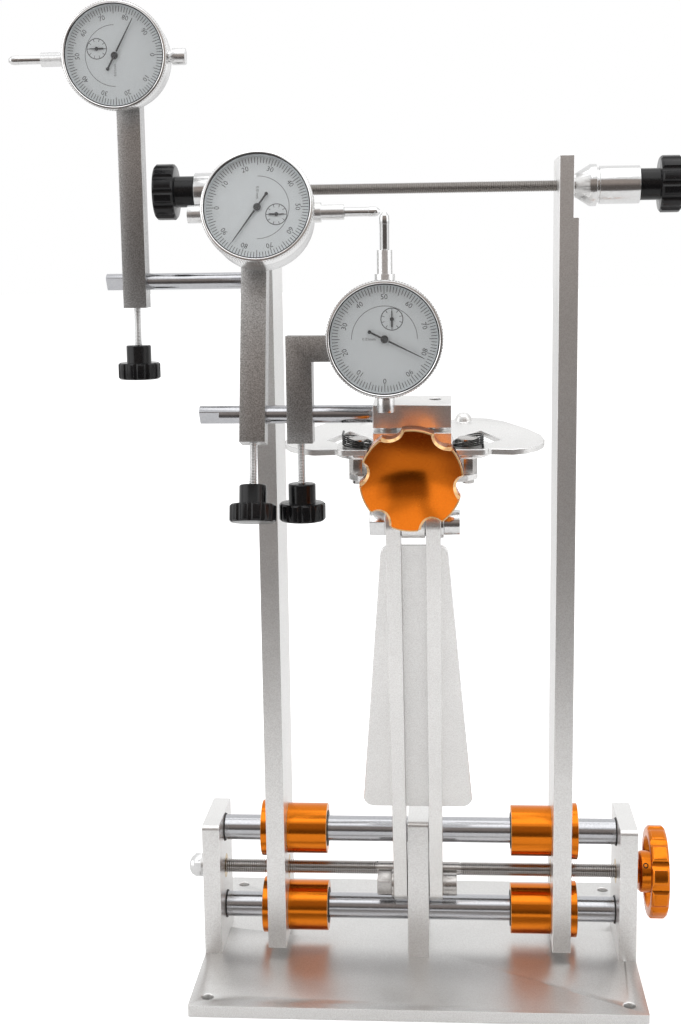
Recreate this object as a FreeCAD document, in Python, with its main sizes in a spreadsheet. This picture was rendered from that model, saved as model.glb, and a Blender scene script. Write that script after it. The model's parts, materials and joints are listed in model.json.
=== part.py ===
import FreeCAD, Part
import math
import operator
import os

import Sketcher

"""Bicycle wheel truing stand with a hand cranked clamp, swinging callipers and three dial gauges.

Millimetres and degrees. The origin is the centre of the base plate's underside, +X is to the
right, +Y to the back and +Z up. The user stands at -Y.
"""

# Driving dimensions, in millimetres and degrees
SIZES = {
    # Base plate, its bench holes and the countersunk screws under it
    "base_length": 250.0,
    "base_depth": 176.0,
    "base_thickness": 6.5,
    "base_corner": 1.5,
    "bench_hole_inset_x": 9.5,
    "bench_hole_inset_y": 11.0,
    "bench_hole_radius": 3.25,
    "bench_hole_chamfer": 0.5,
    "base_screw_radius": 2.5,
    "base_screw_length": 18.0,
    "base_screw_head_radius": 4.9,
    "base_screw_head_height": 2.6,
    "base_screw_spread": 14.0,
    # Stock that the end plates, the centre post and the uprights are cut from
    "stock_depth": 49.0,
    "end_plate_thickness": 10.0,
    "end_plate_top": 85.2,
    "post_thickness": 12.0,
    "post_top": 88.8,
    "plate_corner": 3.0,
    # Guide rods, and the lead screw between them
    "guide_rod_radius": 7.45,
    "guide_rod_upper": 75.5,
    "guide_rod_lower": 27.3,
    "guide_rod_socket": 6.0,
    "lead_screw_radius": 4.1,
    "lead_screw_level": 51.3,
    "lead_screw_plain_length": 48.0,
    "lead_screw_plain_radius": 3.9,
    "lead_screw_nut_radius": 7.0,
    "end_nut_start": 4.3,
    "end_nut_radius": 7.4,
    "end_nut_hex_length": 4.2,
    "end_nut_dome_length": 3.6,
    "end_nut_dome_radius": 6.2,
    # Handwheel on the right end of the lead screw
    "handwheel_start": 3.1,
    "handwheel_hub_radius": 12.0,
    "handwheel_hub_length": 5.1,
    "handwheel_radius": 26.7,
    "handwheel_rim_length": 10.0,
    "handwheel_rim_wall": 6.0,
    "handwheel_dish_depth": 5.0,
    "handwheel_scallop_radius": 4.5,
    "handwheel_scallop_depth": 1.3,
    "handwheel_scallop_count": 12,
    # Uprights and the flanged bushes that slide on the guide rods
    "upright_inner_face": 77.1,
    "upright_thickness": 10.5,
    "upright_bottom": 10.9,
    "upright_top": 460.5,
    "upright_step_level": 428.0,
    "upright_step_depth": 2.8,
    "bush_barrel_radius": 12.5,
    "bush_body_radius": 14.65,
    "bush_body_length": 23.4,
    "bush_flange_radius": 16.25,
    "bush_flange_thickness": 4.6,
    # Axle with its cones and black knobs
    "axle_level": 445.6,
    "axle_radius": 2.95,
    "axle_half_length": 135.0,
    "cone_tip_radius": 6.5,
    "cone_tip_length": 2.4,
    "cone_taper_length": 7.7,
    "cone_rim_radius": 11.3,
    "cone_rim_length": 3.5,
    "cone_groove_radius": 9.4,
    "cone_groove_length": 1.5,
    "cone_barrel_radius": 10.2,
    "cone_barrel_length": 21.8,
    "axle_knob_neck_radius": 8.5,
    "axle_knob_neck_length": 10.6,
    "axle_knob_radius": 15.3,
    "axle_knob_length": 11.5,
    "axle_knob_edge": 1.2,
    # Arm: two bars with a tapering panel behind them
    "arm_pivot_back": -13.0,
    "arm_pivot_level": 47.0,
    "arm_tilt": 18.0,
    "arm_length": 239.0,
    "arm_bar_thickness": 7.5,
    "arm_bar_half_depth": 9.0,
    "pivot_washer_thickness": 0.5,
    "pivot_washer_radius": 7.0,
    "pivot_bolt_radius": 4.0,
    "pivot_nut_radius": 7.4,
    "pivot_nut_length": 8.3,
    "pivot_head_radius": 6.5,
    "pivot_head_length": 8.2,
    "pivot_socket_radius": 3.4,
    "pivot_socket_depth": 4.0,
    "outer_washer_radius": 8.0,
    "outer_washer_thickness": 1.6,
    "panel_thickness": 2.0,
    "panel_bottom": 49.5,
    "panel_head_gap": 10.3,
    "panel_bottom_half_width": 31.4,
    "panel_top_half_width": 17.5,
    "panel_corner": 6.0,
    # Head: tongue, flat bar and clamping blocks on the arm's upper pivot
    "head_tilt": 5.0,
    "tongue_width": 12.0,
    "tongue_end_radius": 8.0,
    "head_bar_half_length": 38.3,
    "head_bar_level": 37.0,
    "head_bar_thickness": 3.0,
    "head_bar_front": -9.0,
    "head_bar_depth": 22.0,
    "head_bar_corner": 4.0,
    "lower_block_half_length": 19.7,
    "lower_block_height": 8.6,
    "block_gap": 2.5,
    "block_disc_radius": 5.0,
    "block_disc_spread": 13.0,
    "upper_block_half_length": 19.6,
    "upper_block_height": 11.6,
    "upper_block_depth": 27.0,
    "upper_block_hole_radius": 3.0,
    "upper_block_hole_x": 11.4,
    "upper_block_hole_y": 7.6,
    # Jaws, their pivots, springs and the yoke under them
    "jaw_pivot_x": 28.0,
    "jaw_pivot_y": 2.0,
    "jaw_thickness": 3.0,
    "jaw_reach": 90.0,
    "jaw_button_radius": 4.75,
    "jaw_button_height": 4.4,
    "jaw_bolt_radius": 3.0,
    "jaw_bolt_head_radius": 5.4,
    "jaw_bolt_head_height": 1.5,
    "jaw_bolt_stand": 2.4,
    "jaw_nut_radius": 4.6,
    "jaw_nut_height": 4.1,
    "yoke_thickness": 3.0,
    "yoke_ear_radius": 6.0,
    "yoke_reach": 10.5,
    "spring_mean_radius": 7.4,
    "spring_wire_radius": 0.55,
    "spring_pitch": 1.58,
    "spring_leg": 7.0,
    # Calliper knob, an orange cup on a screw with a cone nose
    "cup_level": 30.0,
    "cup_front": 35.0,
    "cup_length": 19.0,
    "cup_radius": 25.5,
    "cup_wall": 1.5,
    "cup_dish_depth": 13.5,
    "cup_dish_centre_radius": 2.8,
    "cup_scallop_radius": 6.0,
    "cup_scallop_depth": 3.6,
    "cup_scallop_count": 6,
    "cup_screw_radius": 4.0,
    "cup_screw_socket": 4.2,
    "cup_screw_nose": 5.0,
    "cup_screw_length": 21.2,
    # Gauge rods and the square bars that carry the gauges
    "gauge_rod_radius": 4.6,
    "upper_rod_y": 6.0,
    "upper_rod_level": 396.5,
    "upper_rod_end": 174.7,
    "lower_rod_y": 4.0,
    "lower_rod_level": 56.0,
    "lower_rod_end": 108.5,
    "rod_flat_length": 10.0,
    "rod_flat_depth": 2.0,
    "gauge_bar_width": 13.0,
    "bar_1_x": -158.1,
    "bar_1_below": 14.5,
    "bar_1_above": 125.5,
    "bar_2_x": -80.9,
    "bar_2_below": 14.9,
    "bar_2_above": 110.0,
    "bar_2_tilt": -15.0,
    "bar_3_x": -56.9,
    "bar_3_below": 14.3,
    "bar_3_above": 39.9,
    "bar_3_arm_length": 43.6,
    "clamp_screw_radius": 2.0,
    "clamp_screw_length": 21.3,
    "clamp_knob_neck_radius": 7.0,
    "clamp_knob_neck_length": 9.8,
    "clamp_knob_radius": 11.9,
    "clamp_knob_length": 9.2,
    "clamp_knob_edge": 0.9,
    # Grips cut into the black knobs, as shares of each knob's radius below
    "knob_flute_count": 12,
    # Dial gauge, the same for all three
    "gauge_case_radius": 27.0,
    "gauge_case_depth": 21.8,
    "gauge_bezel_radius": 28.5,
    "gauge_bezel_depth": 8.6,
    "gauge_bezel_front": 3.6,
    "gauge_bezel_lip_radius": 26.2,
    "gauge_bezel_lip": 1.4,
    "gauge_bezel_edge": 0.8,
    "gauge_dial_thickness": 0.8,
    "gauge_inner_dial_radius": 16.2,
    "gauge_boss_radius": 8.0,
    "gauge_stem_radius": 3.8,
    "gauge_stem_end": 42.5,
    "gauge_stem_depth": 10.5,
    "gauge_collar_radius": 5.0,
    "gauge_collar_end": 31.0,
    "gauge_cap_radius": 4.4,
    "gauge_cap_start": 29.4,
    "gauge_cap_end": 36.5,
    "gauge_cap_neck_radius": 3.2,
    "plunger_radius": 2.3,
    "plunger_inner_end": 20.0,
    "plunger_tip_start": 55.0,
    "plunger_end": 60.6,
    "plunger_tip_radius": 2.45,
    "plunger_point_radius": 1.5,
    "plunger_travel": 8.0,
    "hand_length": 21.5,
    "hand_tail": 8.0,
    "hand_width": 1.3,
    "hand_thickness": 0.3,
    "hand_height": 1.1,
    "hand_hub_radius": 2.2,
    "hand_shaft_radius": 0.6,
    "small_hand_left": 3.7,
    "small_hand_down": 9.6,
    "small_hand_length": 4.2,
    "small_hand_width": 0.8,
    "small_hand_height": 0.35,
    "small_hand_shaft_radius": 0.4,
    # Where each gauge stands on its bar, how its plunger points and where its hand rests
    "gauge_1_across": -1.5,
    "gauge_1_up": 120.2,
    "gauge_1_turn": -90.0,
    "gauge_1_hand_angle": -61.3,
    "gauge_2_across": 4.4,
    "gauge_2_up": 99.4,
    "gauge_2_turn": 90.0,
    "gauge_2_hand_angle": -55.2,
    "gauge_3_across": 44.2,
    "gauge_3_up": 39.2,
    "gauge_3_turn": 180.0,
    "gauge_3_hand_angle": -63.8,
    # Clearances
    "running_clearance": 0.06,
    "shaft_clearance": 0.25,
    "face_clearance": 0.1,
    "overrun": 2.0,
}

# Jaw outline on the right, seen from above, as shares of the reach from the head's centre plane
# and from the pivot line: (across, back)
JAW_SHARES = [
    (0.235, -0.020), (0.270, -0.058), (0.335, -0.062), (0.400, -0.020), (0.443, 0.054),
    (0.564, 0.039), (0.640, 0.070), (0.709, 0.141), (0.745, 0.220), (0.756, 0.303),
    (0.743, 0.443), (0.677, 0.619), (0.538, 0.864), (0.440, 0.950), (0.344, 0.980),
    (0.250, 0.960), (0.215, 0.900), (0.200, 0.780), (0.207, 0.560), (0.232, 0.313),
    (0.392, 0.581), (0.507, 0.308), (0.397, 0.178), (0.260, 0.110),
]
# Button screw on the jaw's far end, as shares of the reach
JAW_BUTTON_SHARES = (0.291, 0.871)

# Place and size of the grips in a black knob, as shares of the knob's radius
FLUTE_CENTRE_SHARE = 1.09
FLUTE_RADIUS_SHARE = 0.16

# Back of the calliper cup: its radius at the back and where its side starts, as shares
CUP_BACK_SHARE = 0.72
CUP_SIDE_SHARE = 0.95

# Needle outline of a gauge hand: the width at its tip as a share of the width at its hub
HAND_TIP_SHARE = 0.3

# Turns of a jaw spring
SPRING_TURNS = 4.5

OPERATIONS = {"+": operator.add, "-": operator.sub, "*": operator.mul, "/": operator.truediv}
TURNS = {
    "x": FreeCAD.Rotation(FreeCAD.Vector(0, 1, 0), 90),
    "-x": FreeCAD.Rotation(FreeCAD.Vector(0, 1, 0), -90),
    "y": FreeCAD.Rotation(FreeCAD.Vector(1, 0, 0), -90),
    "-y": FreeCAD.Rotation(FreeCAD.Vector(1, 0, 0), 90),
    "z": FreeCAD.Rotation(),
    "-z": FreeCAD.Rotation(FreeCAD.Vector(1, 0, 0), 180),
}


class Size:
    """A length that carries its value and the text that binds it to the sheet."""

    def __init__(self, value, text):
        self.value = float(value)
        self.text = text

    def __add__(self, other):
        return combine(self, "+", other)

    def __radd__(self, other):
        return combine(other, "+", self)

    def __sub__(self, other):
        return combine(self, "-", other)

    def __rsub__(self, other):
        return combine(other, "-", self)

    def __mul__(self, other):
        return combine(self, "*", other)

    def __rmul__(self, other):
        return combine(other, "*", self)

    def __truediv__(self, other):
        return combine(self, "/", other)

    def __neg__(self):
        return combine(0, "-", self)


def value_of(size):
    """Plain number of a size."""
    return size.value if isinstance(size, Size) else float(size)


def text_of(size):
    """Sheet expression of a size."""
    return size.text if isinstance(size, Size) else repr(float(size))


def combine(first, sign, second):
    """Size worked out from two others."""
    value = OPERATIONS[sign](value_of(first), value_of(second))
    return Size(value, f"({text_of(first)} {sign} {text_of(second)})")


def sine(angle):
    """Sine of a sheet angle in degrees."""
    return Size(math.sin(math.radians(angle.value)), f"sin({angle.text})")


def cosine(angle):
    """Cosine of a sheet angle in degrees."""
    return Size(math.cos(math.radians(angle.value)), f"cos({angle.text})")


class Sheet:
    """The spreadsheet of driving dimensions, read by name as sizes."""

    def __init__(self, document):
        self.cells = document.addObject("Spreadsheet::Sheet", "Sizes")
        for row, (name, value) in enumerate(SIZES.items(), start=1):
            self.cells.set(f"A{row}", name)
            self.cells.set(f"B{row}", repr(value))
            self.cells.setAlias(f"B{row}", name)
        document.recompute()

    def __getattr__(self, name):
        return Size(SIZES[name], f"Sizes.{name}")


doc = FreeCAD.newDocument("TruingStand")
S = Sheet(doc)
nodes = []


def bind(item, name, size):
    """Set a property to a size and tie it to the sheet."""
    setattr(item, name, value_of(size))
    if isinstance(size, Size):
        item.setExpression(name, size.text)


def place(item, spot=(0, 0, 0), turn=None):
    """Put an object at a spot, with a rotation."""
    item.Placement = FreeCAD.Placement(
        FreeCAD.Vector(*[value_of(size) for size in spot]), turn or FreeCAD.Rotation()
    )
    for axis, size in zip("xyz", spot):
        if isinstance(size, Size):
            item.setExpression(f"Placement.Base.{axis}", size.text)
    return item


def node(label, item):
    """Name a finished sub-part after its node."""
    item.Label = label
    nodes.append(item)
    return item


def tilt(angle):
    """Rotation about +X, which brings the top forward where the angle is positive."""
    return FreeCAD.Rotation(FreeCAD.Vector(1, 0, 0), value_of(angle))


def draw_outline(body, plane, name, outline):
    """Closed polygon on one of the body's own planes, each corner tied to its sizes."""
    sketch = body.newObject("Sketcher::SketchObject", name)
    support = [item for item in body.Origin.OriginFeatures if item.Role == plane][0]
    sketch.AttachmentSupport = [(support, "")]
    sketch.MapMode = "FlatFace"
    corners = [FreeCAD.Vector(value_of(x), value_of(y), 0) for x, y in outline]
    following = corners[1:] + corners[:1]
    sketch.addGeometry([Part.LineSegment(*pair) for pair in zip(corners, following)], False)
    for number, corner in enumerate(outline):
        previous = (number - 1) % len(outline)
        sketch.addConstraint(Sketcher.Constraint("Coincident", previous, 2, number, 1))
        for kind, size in zip(("DistanceX", "DistanceY"), corner):
            place_number = sketch.addConstraint(
                Sketcher.Constraint(kind, -1, 1, number, 1, value_of(size))
            )
            if isinstance(size, Size):
                sketch.setExpression(f"Constraints[{place_number}]", size.text)
    return sketch


def draw_circles(body, plane, name, circles):
    """Circles on one of the body's own planes, each given by its centre and radius."""
    sketch = body.newObject("Sketcher::SketchObject", name)
    support = [item for item in body.Origin.OriginFeatures if item.Role == plane][0]
    sketch.AttachmentSupport = [(support, "")]
    sketch.MapMode = "FlatFace"
    for number, (x, y, radius) in enumerate(circles):
        centre = FreeCAD.Vector(value_of(x), value_of(y), 0)
        sketch.addGeometry(
            Part.Circle(centre, FreeCAD.Vector(0, 0, 1), value_of(radius)), False
        )
        ties = [
            (Sketcher.Constraint("DistanceX", -1, 1, number, 3, value_of(x)), x),
            (Sketcher.Constraint("DistanceY", -1, 1, number, 3, value_of(y)), y),
            (Sketcher.Constraint("Radius", number, value_of(radius)), radius),
        ]
        for constraint, size in ties:
            place_number = sketch.addConstraint(constraint)
            if isinstance(size, Size):
                sketch.setExpression(f"Constraints[{place_number}]", size.text)
    return sketch


def prism(name, plane, outline, thickness, spot=(0, 0, 0), circles=()):
    """Padded outline that grows along +Z, +Y or +X from its plane, with round holes through it."""
    body = doc.addObject("PartDesign::Body", name)
    pad = body.newObject("PartDesign::Pad", f"{name}_pad")
    pad.Profile = draw_outline(body, plane, f"{name}_outline", outline)
    bind(pad, "Length", thickness)
    pad.Reversed = plane == "XZ_Plane"
    if circles:
        doc.recompute()
        pocket = body.newObject("PartDesign::Pocket", f"{name}_holes")
        pocket.Profile = draw_circles(body, plane, f"{name}_circles", circles)
        pocket.Type = 1
        pocket.Midplane = True
    doc.recompute()
    return place(body, spot)


def rectangle(left, right, low, high):
    """Outline of a rectangle."""
    return [(left, low), (right, low), (right, high), (left, high)]


def round_corners(body, radius, direction, wanted):
    """Fillet the straight edges along one direction whose middle point is wanted."""
    base = body.Tip
    names = []
    for number, edge in enumerate(base.Shape.Edges, start=1):
        if edge.Curve.TypeId != "Part::GeomLine" or len(edge.Vertexes) < 2:
            continue
        run = edge.Vertexes[1].Point - edge.Vertexes[0].Point
        middle = (edge.Vertexes[1].Point + edge.Vertexes[0].Point) * 0.5
        along = abs(run.dot(direction)) > run.Length * math.cos(math.radians(1))
        if along and wanted(middle):
            names.append(f"Edge{number}")
    fillet = body.newObject("PartDesign::Fillet", f"{body.Name}_fillet")
    fillet.Base = (base, names)
    bind(fillet, "Radius", radius)
    doc.recompute()
    return body


def turned(name, outline, spot=(0, 0, 0), axis="z"):
    """Solid of revolution; the outline is a list of (along the axis, radius)."""
    body = doc.addObject("PartDesign::Body", name)
    turn = body.newObject("PartDesign::Revolution", f"{name}_turn")
    sketch = draw_outline(body, "XZ_Plane", f"{name}_outline", [(r, along) for along, r in outline])
    turn.Profile = sketch
    turn.ReferenceAxis = (sketch, ["V_Axis"])
    turn.Angle = 360
    doc.recompute()
    return place(body, spot, TURNS[axis])


def solid_steps(steps):
    """Outline of a solid round piece; steps are (length, radius at its start, radius at its end)."""
    along = 0
    outline = [(0, 0)]
    for length, first, last in steps:
        outline.append((along, first))
        along = along + length
        outline.append((along, last))
    outline.append((along, 0))
    return drop_repeats(outline)


def flutes(body, centre_radius, radius, count):
    """Grips round a turned piece, cut along its axis."""
    pocket = body.newObject("PartDesign::Pocket", f"{body.Name}_flute")
    circle = [(centre_radius, 0, radius)]
    sketch = draw_circles(body, "XY_Plane", f"{body.Name}_flute_circle", circle)
    pocket.Profile = sketch
    pocket.Type = 1
    pocket.Midplane = True
    doc.recompute()
    pattern = body.newObject("PartDesign::PolarPattern", f"{body.Name}_flutes")
    pattern.Originals = [pocket]
    pattern.Axis = (sketch, ["N_Axis"])
    pattern.Angle = 360
    pattern.Occurrences = int(count.value)
    pattern.setExpression("Occurrences", count.text)
    body.Tip = pattern
    doc.recompute()
    return body


def rod(name, radius, start, length, axis="z"):
    """Cylinder that starts at a spot and runs along an axis."""
    item = doc.addObject("Part::Cylinder", name)
    bind(item, "Radius", radius)
    bind(item, "Height", length)
    return place(item, start, TURNS[axis])


def cone(name, first, last, start, length, axis="z"):
    """Cone that starts at a spot and runs along an axis."""
    item = doc.addObject("Part::Cone", name)
    bind(item, "Radius1", first)
    bind(item, "Radius2", last)
    bind(item, "Height", length)
    return place(item, start, TURNS[axis])


def hexagon(name, radius, start, length, axis="z"):
    """Six sided nut blank across whose corners twice the radius lies."""
    item = doc.addObject("Part::Prism", name)
    item.Polygon = 6
    bind(item, "Circumradius", radius)
    bind(item, "Height", length)
    return place(item, start, TURNS[axis])


def block(name, corner, lengths):
    """Box from its lowest corner."""
    item = doc.addObject("Part::Box", name)
    for side, size in zip(("Length", "Width", "Height"), lengths):
        bind(item, side, size)
    return place(item, corner)


def fused(name, pieces):
    """One solid from several."""
    item = doc.addObject("Part::MultiFuse", name)
    item.Shapes = pieces
    item.Refine = True
    doc.recompute()
    return item


def cut(name, base, tool):
    """A solid with a tool's shape taken away."""
    item = doc.addObject("Part::Cut", name)
    item.Base = base
    item.Tool = tool
    doc.recompute()
    return item


def group(name, pieces, spot=(0, 0, 0), turn=None):
    """Separate solids that move together, in one placement."""
    item = doc.addObject("Part::Compound", name)
    item.Links = pieces
    doc.recompute()
    return place(item, spot, turn)


def mirrored(name, source):
    """The same piece on the other side of the centre plane."""
    item = doc.addObject("Part::Mirroring", name)
    item.Source = source
    item.Base = FreeCAD.Vector(0, 0, 0)
    item.Normal = FreeCAD.Vector(1, 0, 0)
    doc.recompute()
    return item


# Derived places that several pieces share
half_stock = S.stock_depth / 2
plate_inner_face = S.base_length / 2 - S.end_plate_thickness
half_post = S.post_thickness / 2
rod_levels = (S.guide_rod_lower, S.guide_rod_upper)
upright_outer_face = S.upright_inner_face + S.upright_thickness
upright_step_face = upright_outer_face - S.upright_step_depth
cone_length = (
    S.cone_tip_length
    + S.cone_taper_length
    + S.cone_rim_length
    + S.cone_groove_length
    + S.cone_barrel_length
)
axle_knob_start = upright_step_face + cone_length
arm_inner_face = half_post + S.pivot_washer_thickness
arm_outer_face = arm_inner_face + S.arm_bar_thickness
head_y = S.arm_pivot_back - S.arm_length * sine(S.arm_tilt)
head_z = S.arm_pivot_level + S.arm_length * cosine(S.arm_tilt)
arm_spot = (0, S.arm_pivot_back, S.arm_pivot_level)
head_spot = (0, head_y, head_z)
bore = S.running_clearance
half_bar = S.gauge_bar_width / 2


def along_head(back, up):
    """World (y, z) of a point given in the head's own frame."""
    return (
        head_y + back * cosine(S.head_tilt) - up * sine(S.head_tilt),
        head_z + back * sine(S.head_tilt) + up * cosine(S.head_tilt),
    )


def base_screw_spots():
    """Centres of the screws that hold the end plates and the post."""
    plate_centre = plate_inner_face + S.end_plate_thickness / 2
    return [
        (x, y)
        for x in (-plate_centre, 0, plate_centre)
        for y in (-S.base_screw_spread, S.base_screw_spread)
    ]


def screw_holes(name, growth):
    """Cutters for the base screws, larger than the screws by a growth."""
    cutters = []
    for number, (x, y) in enumerate(base_screw_spots()):
        cutters.append(
            turned(
                f"{name}_{number}",
                solid_steps(
                    [
                        (
                            S.base_screw_head_height,
                            S.base_screw_head_radius + growth,
                            S.base_screw_radius + growth,
                        ),
                        (
                            S.base_screw_length - S.base_screw_head_height + growth,
                            S.base_screw_radius + growth,
                            S.base_screw_radius + growth,
                        ),
                    ]
                ),
                (x, y, 0),
            )
        )
    return group(name, cutters)


def make_base():
    """Base plate, end plates, centre post, guide rods and the screws that join them."""
    half_x = S.base_length / 2 - S.bench_hole_inset_x
    half_y = S.base_depth / 2 - S.bench_hole_inset_y
    holes = [(x, y, S.bench_hole_radius) for x in (-half_x, half_x) for y in (-half_y, half_y)]
    plate = prism(
        "base_plate_blank",
        "XY_Plane",
        rectangle(-S.base_length / 2, S.base_length / 2, -S.base_depth / 2, S.base_depth / 2),
        S.base_thickness,
        circles=holes,
    )
    edge = S.base_length.value / 2 - S.base_corner.value
    round_corners(plate, S.base_corner, FreeCAD.Vector(0, 0, 1), lambda p: abs(p.x) > edge)
    countersinks = [
        cone(
            f"bench_countersink_{number}",
            S.bench_hole_radius,
            S.bench_hole_radius + S.bench_hole_chamfer,
            (x, y, S.base_thickness - S.bench_hole_chamfer),
            S.bench_hole_chamfer,
        )
        for number, (x, y, radius) in enumerate(holes)
    ]
    plate = cut("base_plate_countersunk", plate, group("bench_countersinks", countersinks))
    cutters = screw_holes("base_screw_holes", S.running_clearance)
    node("base_plate", cut("base_plate_drilled", plate, cutters))
    screws = [
        turned(
            f"base_screw_{number}",
            solid_steps(
                [
                    (S.base_screw_head_height, S.base_screw_head_radius, S.base_screw_radius),
                    (
                        S.base_screw_length - S.base_screw_head_height,
                        S.base_screw_radius,
                        S.base_screw_radius,
                    ),
                ]
            ),
            (x, y, 0),
        )
        for number, (x, y) in enumerate(base_screw_spots())
    ]
    node("base_screws", group("base_screw_set", screws))
    make_end_plates()
    make_post()
    rods = [
        rod(
            f"guide_rod_{number}",
            S.guide_rod_radius,
            (-plate_inner_face - S.guide_rod_socket, 0, level),
            2 * (plate_inner_face + S.guide_rod_socket),
            "x",
        )
        for number, level in enumerate(rod_levels)
    ]
    node("guide_rods", group("guide_rod_pair", rods))


def make_end_plates():
    """The two plates that carry the ends of the guide rods and the lead screw."""
    plate = prism(
        "end_plate_blank",
        "YZ_Plane",
        rectangle(-half_stock, half_stock, S.base_thickness, S.end_plate_top),
        S.end_plate_thickness,
        (plate_inner_face, 0, 0),
        circles=[(0, S.lead_screw_level, S.lead_screw_nut_radius)],
    )
    low = S.end_plate_top.value - S.plate_corner.value
    round_corners(plate, S.plate_corner, FreeCAD.Vector(1, 0, 0), lambda p: p.z > low)
    sockets = [
        rod(
            f"end_plate_socket_{number}",
            S.guide_rod_radius,
            (plate_inner_face - S.overrun, 0, level),
            S.guide_rod_socket + S.overrun,
            "x",
        )
        for number, level in enumerate(rod_levels)
    ]
    cutters = screw_holes("end_plate_screw_holes", 0)
    tool = group("end_plate_tool", sockets + [cutters])
    plate = cut("end_plate_right", plate, tool)
    node("end_plates", group("end_plate_pair", [plate, mirrored("end_plate_left", plate)]))
    bush = turned(
        "screw_bush_right",
        [
            (0, S.lead_screw_radius + bore),
            (0, S.lead_screw_nut_radius),
            (S.end_plate_thickness, S.lead_screw_nut_radius),
            (S.end_plate_thickness, S.lead_screw_radius + bore),
        ],
        (plate_inner_face, 0, S.lead_screw_level),
        "x",
    )
    node("screw_bushes", group("screw_bush_pair", [bush, mirrored("screw_bush_left", bush)]))


def make_post():
    """Centre post that the guide rods run through and the arm swings on."""
    post = prism(
        "post_blank",
        "YZ_Plane",
        rectangle(-half_stock, half_stock, S.base_thickness, S.post_top),
        S.post_thickness,
        (-half_post, 0, 0),
        circles=[
            (0, S.guide_rod_lower, S.guide_rod_radius),
            (0, S.guide_rod_upper, S.guide_rod_radius),
            (0, S.lead_screw_level, S.lead_screw_radius + S.shaft_clearance),
            (S.arm_pivot_back, S.arm_pivot_level, S.pivot_bolt_radius),
        ],
    )
    low = S.post_top.value - S.plate_corner.value
    round_corners(post, S.plate_corner, FreeCAD.Vector(1, 0, 0), lambda p: p.z > low)
    node("centre_post", cut("post_drilled", post, screw_holes("post_screw_holes", 0)))


def pivot_bolt(name, spot, turn, washer_on_head):
    """Bolt with its nut, the thin washers beside the bars and a wide washer at one end."""
    start = -arm_outer_face
    washer = S.outer_washer_thickness
    nut_start = start - (0 if washer_on_head else washer)
    head_start = arm_outer_face + (washer if washer_on_head else 0)
    shank = rod(
        f"{name}_shank",
        S.pivot_bolt_radius,
        (nut_start - S.pivot_nut_length, 0, 0),
        head_start - nut_start + S.pivot_nut_length,
        "x",
    )
    head = rod(f"{name}_head", S.pivot_head_radius, (head_start, 0, 0), S.pivot_head_length, "x")
    socket = hexagon(
        f"{name}_socket",
        S.pivot_socket_radius,
        (head_start + S.pivot_head_length - S.pivot_socket_depth, 0, 0),
        S.pivot_socket_depth + S.overrun,
        "x",
    )
    bolt = cut(f"{name}_bolt", fused(f"{name}_blank", [shank, head]), socket)
    nut = hexagon(
        f"{name}_nut_blank",
        S.pivot_nut_radius,
        (nut_start - S.pivot_nut_length, 0, 0),
        S.pivot_nut_length,
        "x",
    )
    hole = rod(
        f"{name}_nut_hole",
        S.pivot_bolt_radius,
        (nut_start - S.pivot_nut_length - S.overrun, 0, 0),
        S.pivot_nut_length + 2 * S.overrun,
        "x",
    )
    pieces = [bolt, cut(f"{name}_nut", nut, hole)]
    wide_start = arm_outer_face if washer_on_head else start - washer
    places = [
        (-arm_inner_face, S.pivot_washer_thickness, S.pivot_washer_radius),
        (half_post, S.pivot_washer_thickness, S.pivot_washer_radius),
        (wide_start, washer, S.outer_washer_radius),
    ]
    for number, (x, thickness, radius) in enumerate(places):
        pieces.append(
            turned(
                f"{name}_washer_{number}",
                [
                    (0, S.pivot_bolt_radius),
                    (0, radius),
                    (thickness, radius),
                    (thickness, S.pivot_bolt_radius),
                ],
                (x, 0, 0),
                "x",
            )
        )
    return group(name, pieces, spot, turn)


def make_lead_screw():
    """Left and right handed lead screw with its handwheel and end nut."""
    start = -S.base_length / 2 - S.end_nut_start - S.end_nut_hex_length
    end = S.base_length / 2 + S.handwheel_start + S.handwheel_hub_length
    half_plain = S.lead_screw_plain_length / 2
    screw = turned(
        "lead_screw_bar",
        [
            (start, 0),
            (start, S.lead_screw_radius),
            (-half_plain, S.lead_screw_radius),
            (-half_plain, S.lead_screw_plain_radius),
            (half_plain, S.lead_screw_plain_radius),
            (half_plain, S.lead_screw_radius),
            (end, S.lead_screw_radius),
            (end, 0),
        ],
        (0, 0, S.lead_screw_level),
        "x",
    )
    node("lead_screw", screw)
    nut = hexagon(
        "end_nut_hex",
        S.end_nut_radius,
        (start, 0, S.lead_screw_level),
        S.end_nut_hex_length,
        "x",
    )
    dome = turned(
        "end_nut_dome",
        [
            (0, 0),
            (0, S.end_nut_dome_radius),
            (S.end_nut_dome_length * 0.5, S.end_nut_dome_radius * 0.87),
            (S.end_nut_dome_length * 0.87, S.end_nut_dome_radius * 0.5),
            (S.end_nut_dome_length, 0),
        ],
        (start, 0, S.lead_screw_level),
        "-x",
    )
    collar = rod(
        "end_nut_collar",
        S.end_nut_dome_radius,
        (start + S.end_nut_hex_length, 0, S.lead_screw_level),
        S.end_nut_start - S.face_clearance,
        "x",
    )
    hole = rod(
        "end_nut_hole",
        S.lead_screw_radius,
        (start, 0, S.lead_screw_level),
        S.end_nut_hex_length + S.end_nut_start,
        "x",
    )
    node("end_nut", cut("end_nut_drilled", fused("end_nut_blank", [nut, dome, collar]), hole))
    make_handwheel()


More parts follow.
